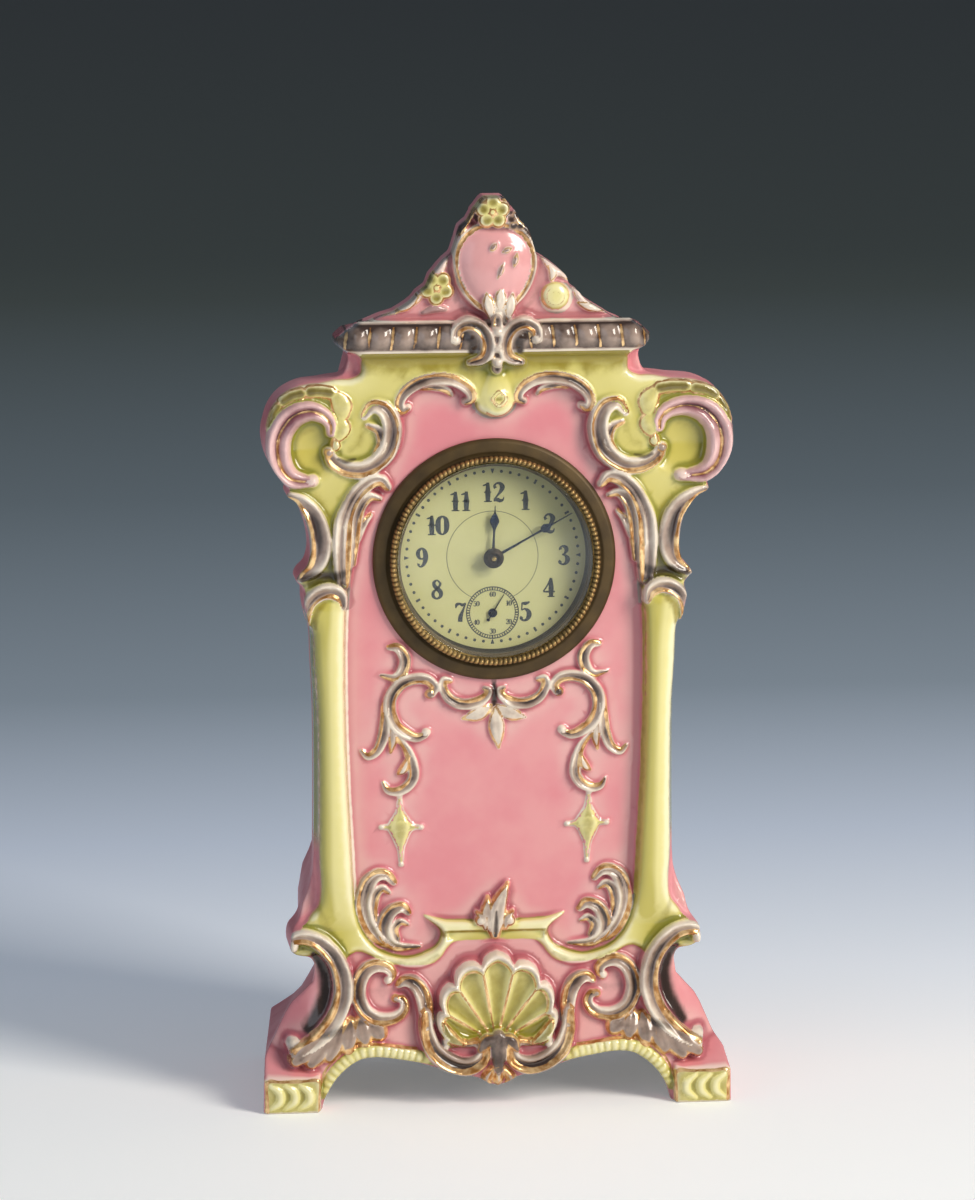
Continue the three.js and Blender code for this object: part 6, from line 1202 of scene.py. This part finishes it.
# Printed dial: thick-and-thin figures in a box one unit high, drawn as strokes of x, z and half width.
FIGURES = {
    "0": [[(0.3, 0.97, 0.04), (0.12, 0.8, 0.11), (0.08, 0.5, 0.14), (0.12, 0.2, 0.11), (0.3, 0.03, 0.04),
           (0.48, 0.2, 0.11), (0.52, 0.5, 0.14), (0.48, 0.8, 0.11), (0.3, 0.97, 0.04)]],
    "1": [[(0.32, 1, 0.07), (0.32, 0.5, 0.13), (0.32, 0.02, 0.11)],
          [(0.34, 0.94, 0.05), (0.2, 0.88, 0.05), (0.06, 0.84, 0.03)],
          [(0.12, 0.5, 0.02), (0.32, 0.52, 0.08), (0.5, 0.5, 0.02)],
          [(0.12, 0.03, 0.03), (0.52, 0.03, 0.03)]],
    "2": [[(0.16, 0.7, 0.09), (0.1, 0.82, 0.06), (0.22, 0.95, 0.05), (0.38, 0.94, 0.08),
           (0.5, 0.78, 0.13), (0.44, 0.58, 0.1), (0.28, 0.36, 0.05), (0.08, 0.12, 0.04)],
          [(0.06, 0.06, 0.04), (0.22, 0.12, 0.1), (0.4, 0.06, 0.09), (0.54, 0.12, 0.05),
           (0.58, 0.26, 0.02)]],
    "3": [[(0.14, 0.78, 0.09), (0.12, 0.86, 0.06), (0.24, 0.96, 0.05), (0.4, 0.9, 0.1),
           (0.44, 0.74, 0.1), (0.34, 0.58, 0.05), (0.22, 0.53, 0.03)],
          [(0.22, 0.53, 0.03), (0.38, 0.49, 0.06), (0.5, 0.3, 0.13), (0.42, 0.1, 0.09),
           (0.24, 0.03, 0.05), (0.1, 0.14, 0.08), (0.15, 0.22, 0.08)]],
    "4": [[(0.42, 0.98, 0.06), (0.24, 0.62, 0.04), (0.03, 0.3, 0.04)],
          [(0.02, 0.28, 0.035), (0.3, 0.28, 0.05), (0.62, 0.28, 0.04)],
          [(0.42, 0.98, 0.06), (0.42, 0.5, 0.13), (0.42, 0.02, 0.1)],
          [(0.24, 0.03, 0.03), (0.6, 0.03, 0.03)]],
    "5": [[(0.14, 0.93, 0.04), (0.32, 0.9, 0.09), (0.54, 0.98, 0.03)],
          [(0.15, 0.95, 0.04), (0.12, 0.55, 0.03)],
          [(0.12, 0.55, 0.03), (0.28, 0.62, 0.05), (0.46, 0.5, 0.11), (0.5, 0.3, 0.13),
           (0.4, 0.09, 0.09), (0.22, 0.03, 0.05), (0.1, 0.14, 0.08), (0.15, 0.22, 0.08)]],
    "6": [[(0.46, 0.8, 0.08), (0.48, 0.88, 0.05), (0.36, 0.96, 0.05), (0.2, 0.82, 0.09),
           (0.11, 0.5, 0.13), (0.16, 0.18, 0.11), (0.3, 0.03, 0.05), (0.46, 0.14, 0.09),
           (0.5, 0.32, 0.11), (0.42, 0.52, 0.07), (0.28, 0.56, 0.04), (0.17, 0.44, 0.04)]],
    "7": [[(0.05, 0.72, 0.02), (0.1, 0.9, 0.08), (0.26, 0.94, 0.06), (0.4, 0.88, 0.08),
           (0.56, 0.98, 0.03)],
          [(0.56, 0.97, 0.03), (0.42, 0.62, 0.06), (0.3, 0.3, 0.11), (0.27, 0.02, 0.12)]],
    "8": [[(0.44, 0.86, 0.05), (0.3, 0.97, 0.04), (0.15, 0.86, 0.08), (0.18, 0.68, 0.1),
           (0.32, 0.54, 0.11), (0.48, 0.36, 0.12), (0.48, 0.16, 0.09), (0.3, 0.03, 0.05),
           (0.12, 0.14, 0.08), (0.11, 0.34, 0.08), (0.26, 0.5, 0.05), (0.42, 0.66, 0.06),
           (0.46, 0.8, 0.07), (0.44, 0.86, 0.05)]],
}
FIGURES["9"] = [[(0.6 - x, 1 - z, w) for x, z, w in stroke] for stroke in FIGURES["6"]]
FIGURE_WIDTH = 0.6
INK = 0.03
SECONDS_Z = DIAL_Z - 14.4

# Radii of the dial's rings of figures and marks, and the height of its figures.
HOURS = 16.4
HOURS_ASIDE = 18.0
MINUTES_IN, MINUTES_OUT = 21.2, 22.4
MINUTE_DOTS = 21.8
MIDDLE_CIRCLE = 11.6
SECONDS_IN, SECONDS_OUT = 5.8, 6.6
SECONDS_FIGURES = 4.75
HOUR_FIGURE = 5.0
SMALL_FIGURE = 1.35


def figures(text, x, z, height):
    """Upright figures centred on x, z."""
    parts = []
    for k, figure in enumerate(text):
        left = x + (k - len(text) / 2) * FIGURE_WIDTH * height * 0.92
        for stroke in FIGURES[figure]:
            line = [(left + px * height, z + (pz - 0.5) * height, w * height) for px, pz, w in stroke]
            parts.append(strip(line, DIAL_FACE, DIAL_FACE - INK))
    return parts


def circle(z, radius, half, start=0.0, end=2 * math.pi, steps=64):
    """A printed circle, or a part of one."""
    line = [(radius * math.sin(a), z + radius * math.cos(a), half) for a in np.linspace(start, end, steps)]
    return strip(line, DIAL_FACE, DIAL_FACE - INK, spans=2)


def spoke(z, turn, marks):
    """A printed mark pointing to the middle, through radii with half widths."""
    line = [(r * math.sin(turn), z + r * math.cos(turn), half) for r, half in marks]
    return strip(line, DIAL_FACE, DIAL_FACE - INK, spans=1)


printed = []
for hour in (1, 2, 3, 4, 5, 7, 8, 9, 10, 11, 12):
    turn = hour * math.pi / 6
    reach = HOURS_ASIDE if hour in (3, 9) else HOURS
    printed += figures(str(hour), reach * math.sin(turn), DIAL_Z + reach * math.cos(turn), HOUR_FIGURE)
for minute in range(60):
    turn = minute * math.pi / 30
    if minute % 15 == 0:
        printed.append(spoke(DIAL_Z, turn, ((MINUTES_OUT, 0.5), (MINUTES_IN, 0.08))))
    elif minute % 5 == 0:
        printed.append(spoke(DIAL_Z, turn, [(r, 0.3) for r in (MINUTES_IN, MINUTE_DOTS, MINUTES_OUT)]))
    else:
        dot_x, dot_z = MINUTE_DOTS * math.sin(turn), DIAL_Z + MINUTE_DOTS * math.cos(turn)
        printed.append(disc(dot_x, dot_z, 0.4, DIAL_FACE, DIAL_FACE - INK))
printed.append(circle(DIAL_Z, MIDDLE_CIRCLE, 0.07, math.radians(-153), math.radians(153)))
printed += [circle(SECONDS_Z, SECONDS_OUT, 0.14), circle(SECONDS_Z, SECONDS_IN, 0.1)]
for second in range(60):
    half = 0.2 if second % 5 == 0 else 0.13
    radii = (SECONDS_IN, (SECONDS_IN + SECONDS_OUT) / 2, SECONDS_OUT)
    printed.append(spoke(SECONDS_Z, second * math.pi / 30, [(r, half) for r in radii]))
for k, label in enumerate(("60", "10", "20", "30", "40", "50")):
    turn = k * math.pi / 3
    label_x, label_z = SECONDS_FIGURES * math.sin(turn), SECONDS_Z + SECONDS_FIGURES * math.cos(turn)
    printed += figures(label, label_x, label_z, SMALL_FIGURE)
mesh_piece("printed_figures", *joined(printed), ink, "case", "dial_paper", smooth=False)


# Blued hands, each a thin stamped bar with a boss, set at the time shown; two have a pear near the tip.
HAND_THICK = 0.25


def hand(name, turn, z, y_back, widths, boss, tail, body, node):
    """A hand turned clockwise from 12, through radii with half widths; a tail ends in a small disc."""
    lean_x, lean_z = math.sin(math.radians(turn)), math.cos(math.radians(turn))
    y_front = y_back - HAND_THICK
    bar = [(r * lean_x, z + r * lean_z, w) for r, w in widths]
    parts = [strip(bar, y_back, y_front, spans=6), disc(0, z, boss, y_back, y_front, sides=40)]
    if tail:
        tail_bar = [(-r * lean_x, z - r * lean_z, w) for r, w in ((0, 0.3), (1.3, 0.16), (tail, 0.14))]
        parts.append(strip(tail_bar, y_back, y_front))
        parts.append(disc(-tail * lean_x, z - tail * lean_z, 0.42, y_back, y_front, sides=24))
    mesh_piece(name, *joined(parts), blued_steel, body, "blued_steel", [node], smooth=False)


hand("blued_hour_hand", 2.4, DIAL_Z, -19.2,
     [(0, 0.5), (3, 0.34), (6.6, 0.3), (8.2, 0.8), (9.2, 1.2), (10.4, 0.8), (11.6, 0.22), (13.2, 0.1)],
     1.9, 0, "hour_group", "hour_hand")
hand("blued_minute_hand", 61, DIAL_Z, -19.95,
     [(0, 0.5), (3, 0.34), (13, 0.24), (14.2, 0.7), (15.2, 1.1), (16.2, 0.75), (17.4, 0.22), (23, 0.1)],
     1.9, 0, "minute_group", "minute_hand")
hand("blued_seconds_hand", 31.5, SECONDS_Z, -18.45, [(0, 0.3), (1.4, 0.16), (5.5, 0.09)],
     1.15, 2.1, "fourth_group", "seconds_hand")

# Camera, light and stage; AIM_PX is how far right of and above the picture's middle the dial's middle stands.
YAW = math.radians(-6.5)
PITCH = math.radians(10)
FOCAL_PX = 6170
FRAME_PX = 1200
AIM_PX = (4.3, 44.5)
DISTANCE = 1589.4
SENSOR = 36
back = np.array([math.sin(YAW) * math.cos(PITCH), -math.cos(YAW) * math.cos(PITCH), math.sin(PITCH)])
right = np.array([math.cos(YAW), math.sin(YAW), 0])
up = np.cross(back, right)
aim = np.array([0, -17, DIAL_Z])
eye = aim - right * (AIM_PX[0] / FOCAL_PX * DISTANCE) - up * (AIM_PX[1] / FOCAL_PX * DISTANCE)
eye = eye + back * DISTANCE
lens = bpy.data.cameras.new("camera")
lens.sensor_fit = "VERTICAL"
lens.sensor_height = SENSOR
lens.lens = SENSOR * FOCAL_PX / FRAME_PX
lens.clip_end = 50
camera = bpy.data.objects.new("camera", lens)
bpy.context.collection.objects.link(camera)
camera.matrix_world = Matrix(((right[0], up[0], back[0], eye[0] * MM),
                              (right[1], up[1], back[1], eye[1] * MM),
                              (right[2], up[2], back[2], eye[2] * MM), (0, 0, 0, 1)))
bpy.context.scene.camera = camera


def soft_lamp(name, place, target, size, power, colour):
    """A large lamp that faces its target."""
    lamp = bpy.data.lights.new(name, "AREA")
    lamp.shape = "RECTANGLE"
    lamp.size, lamp.size_y = size
    lamp.energy = power
    lamp.color = hex_colour(colour)[:3]
    holder = bpy.data.objects.new(name, lamp)
    holder.location = place
    holder.rotation_euler = (Vector(target) - Vector(place)).to_track_quat("-Z", "Y").to_euler()
    bpy.context.collection.objects.link(holder)


CLOCK_MIDDLE = (0, 0, 0.12)
soft_lamp("window_light", (0.85, -0.85, 0.8), CLOCK_MIDDLE, (0.45, 0.8), 18.2, "#FFF6EA")
soft_lamp("fill_light", (-0.9, -0.9, 0.45), CLOCK_MIDDLE, (0.8, 0.8), 2, "#EAF1FF")
world = bpy.data.worlds.new("studio")
bpy.context.scene.world = world
world.use_nodes = True
sky = world.node_tree.nodes["Background"].inputs
sky["Color"].default_value = hex_colour("#AEB9C6")
sky["Strength"].default_value = 0.43


def paper_sweep():
    """Matt coated background paper: pale on the table, shading to slate away from the clock."""
    m = new_material("paper_sweep")
    place = add_node(m, "ShaderNodeNewGeometry", out="Position")
    parts = add_node(m, "ShaderNodeSeparateXYZ", {"Vector": place}).node.outputs
    before = add_node(m, "ShaderNodeMath", {0: parts["Y"], 1: -0.5, 2: -0.25}, operation="MULTIPLY_ADD")
    away = add_node(m, "ShaderNodeMath", {0: parts["Y"], 1: before}, operation="MAXIMUM")
    lift = add_node(m, "ShaderNodeMath", {0: parts["Z"], 1: away}, operation="ADD")
    # The shades run over 2.3 m of paper, along the floor and up.
    grade = add_node(m, "ShaderNodeMapRange", {"Value": lift, "From Min": 0.0, "From Max": 2.3})
    tint = add_node(m, "ShaderNodeValToRGB", {"Fac": grade}, out="Color")
    set_stops(tint, ((0.0, "#FBFEFF"), (0.05, "#EFF6FF"), (0.13, "#CCD7E8"), (0.235, "#96A3AF"),
                     (0.426, "#737F86"), (0.717, "#525A56"), (1.0, "#3D4244")))
    shader = add_node(m, "ShaderNodeBsdfPrincipled", {"Base Color": tint, "Roughness": 0.7})
    path = add_node(m, "ShaderNodeLightPath").node.outputs
    seen = add_node(m, "ShaderNodeMath", {
        0: path["Is Camera Ray"], 1: path["Is Glossy Ray"]}, operation="MAXIMUM")
    seen = add_node(m, "ShaderNodeMath", {0: seen, 1: path["Is Transmission Ray"]}, operation="MAXIMUM")
    level = add_node(m, "ShaderNodeMath", {0: seen, 1: 0.15}, operation="MULTIPLY")
    glow = add_node(m, "ShaderNodeEmission", {"Color": tint, "Strength": level})
    both = add_node(m, "ShaderNodeAddShader", {0: shader, 1: glow})
    add_node(m, "ShaderNodeOutputMaterial", {"Surface": both})
    return m


# Paper on the table, bent up to a wall behind, in metres.
SWEEP_HALF = 8.0
RISE_Y = 1.8
RISE_RADIUS = 0.7
WALL_TOP = (2.52, 0.7)
bend = [(RISE_Y + RISE_RADIUS * math.sin(a), RISE_RADIUS * (1 - math.cos(a)))
        for a in np.linspace(0, 1.3, 14)]
sweep_profile = [(-SWEEP_HALF, 0.0)] + bend + [WALL_TOP]
sweep_points = [(x, y, z) for y, z in sweep_profile for x in (-SWEEP_HALF, SWEEP_HALF)]
sweep = bpy.data.meshes.new("sweep")
sweep_faces = [(2 * k, 2 * k + 1, 2 * k + 3, 2 * k + 2) for k in range(len(sweep_profile) - 1)]
sweep.from_pydata(sweep_points, [], sweep_faces)
sweep.polygons.foreach_set("use_smooth", [True] * len(sweep.polygons))
floor = bpy.data.objects.new("sweep", sweep)
bpy.context.collection.objects.link(floor)
sweep.materials.append(paper_sweep())

bpy.context.scene.view_settings.view_transform = "Standard"
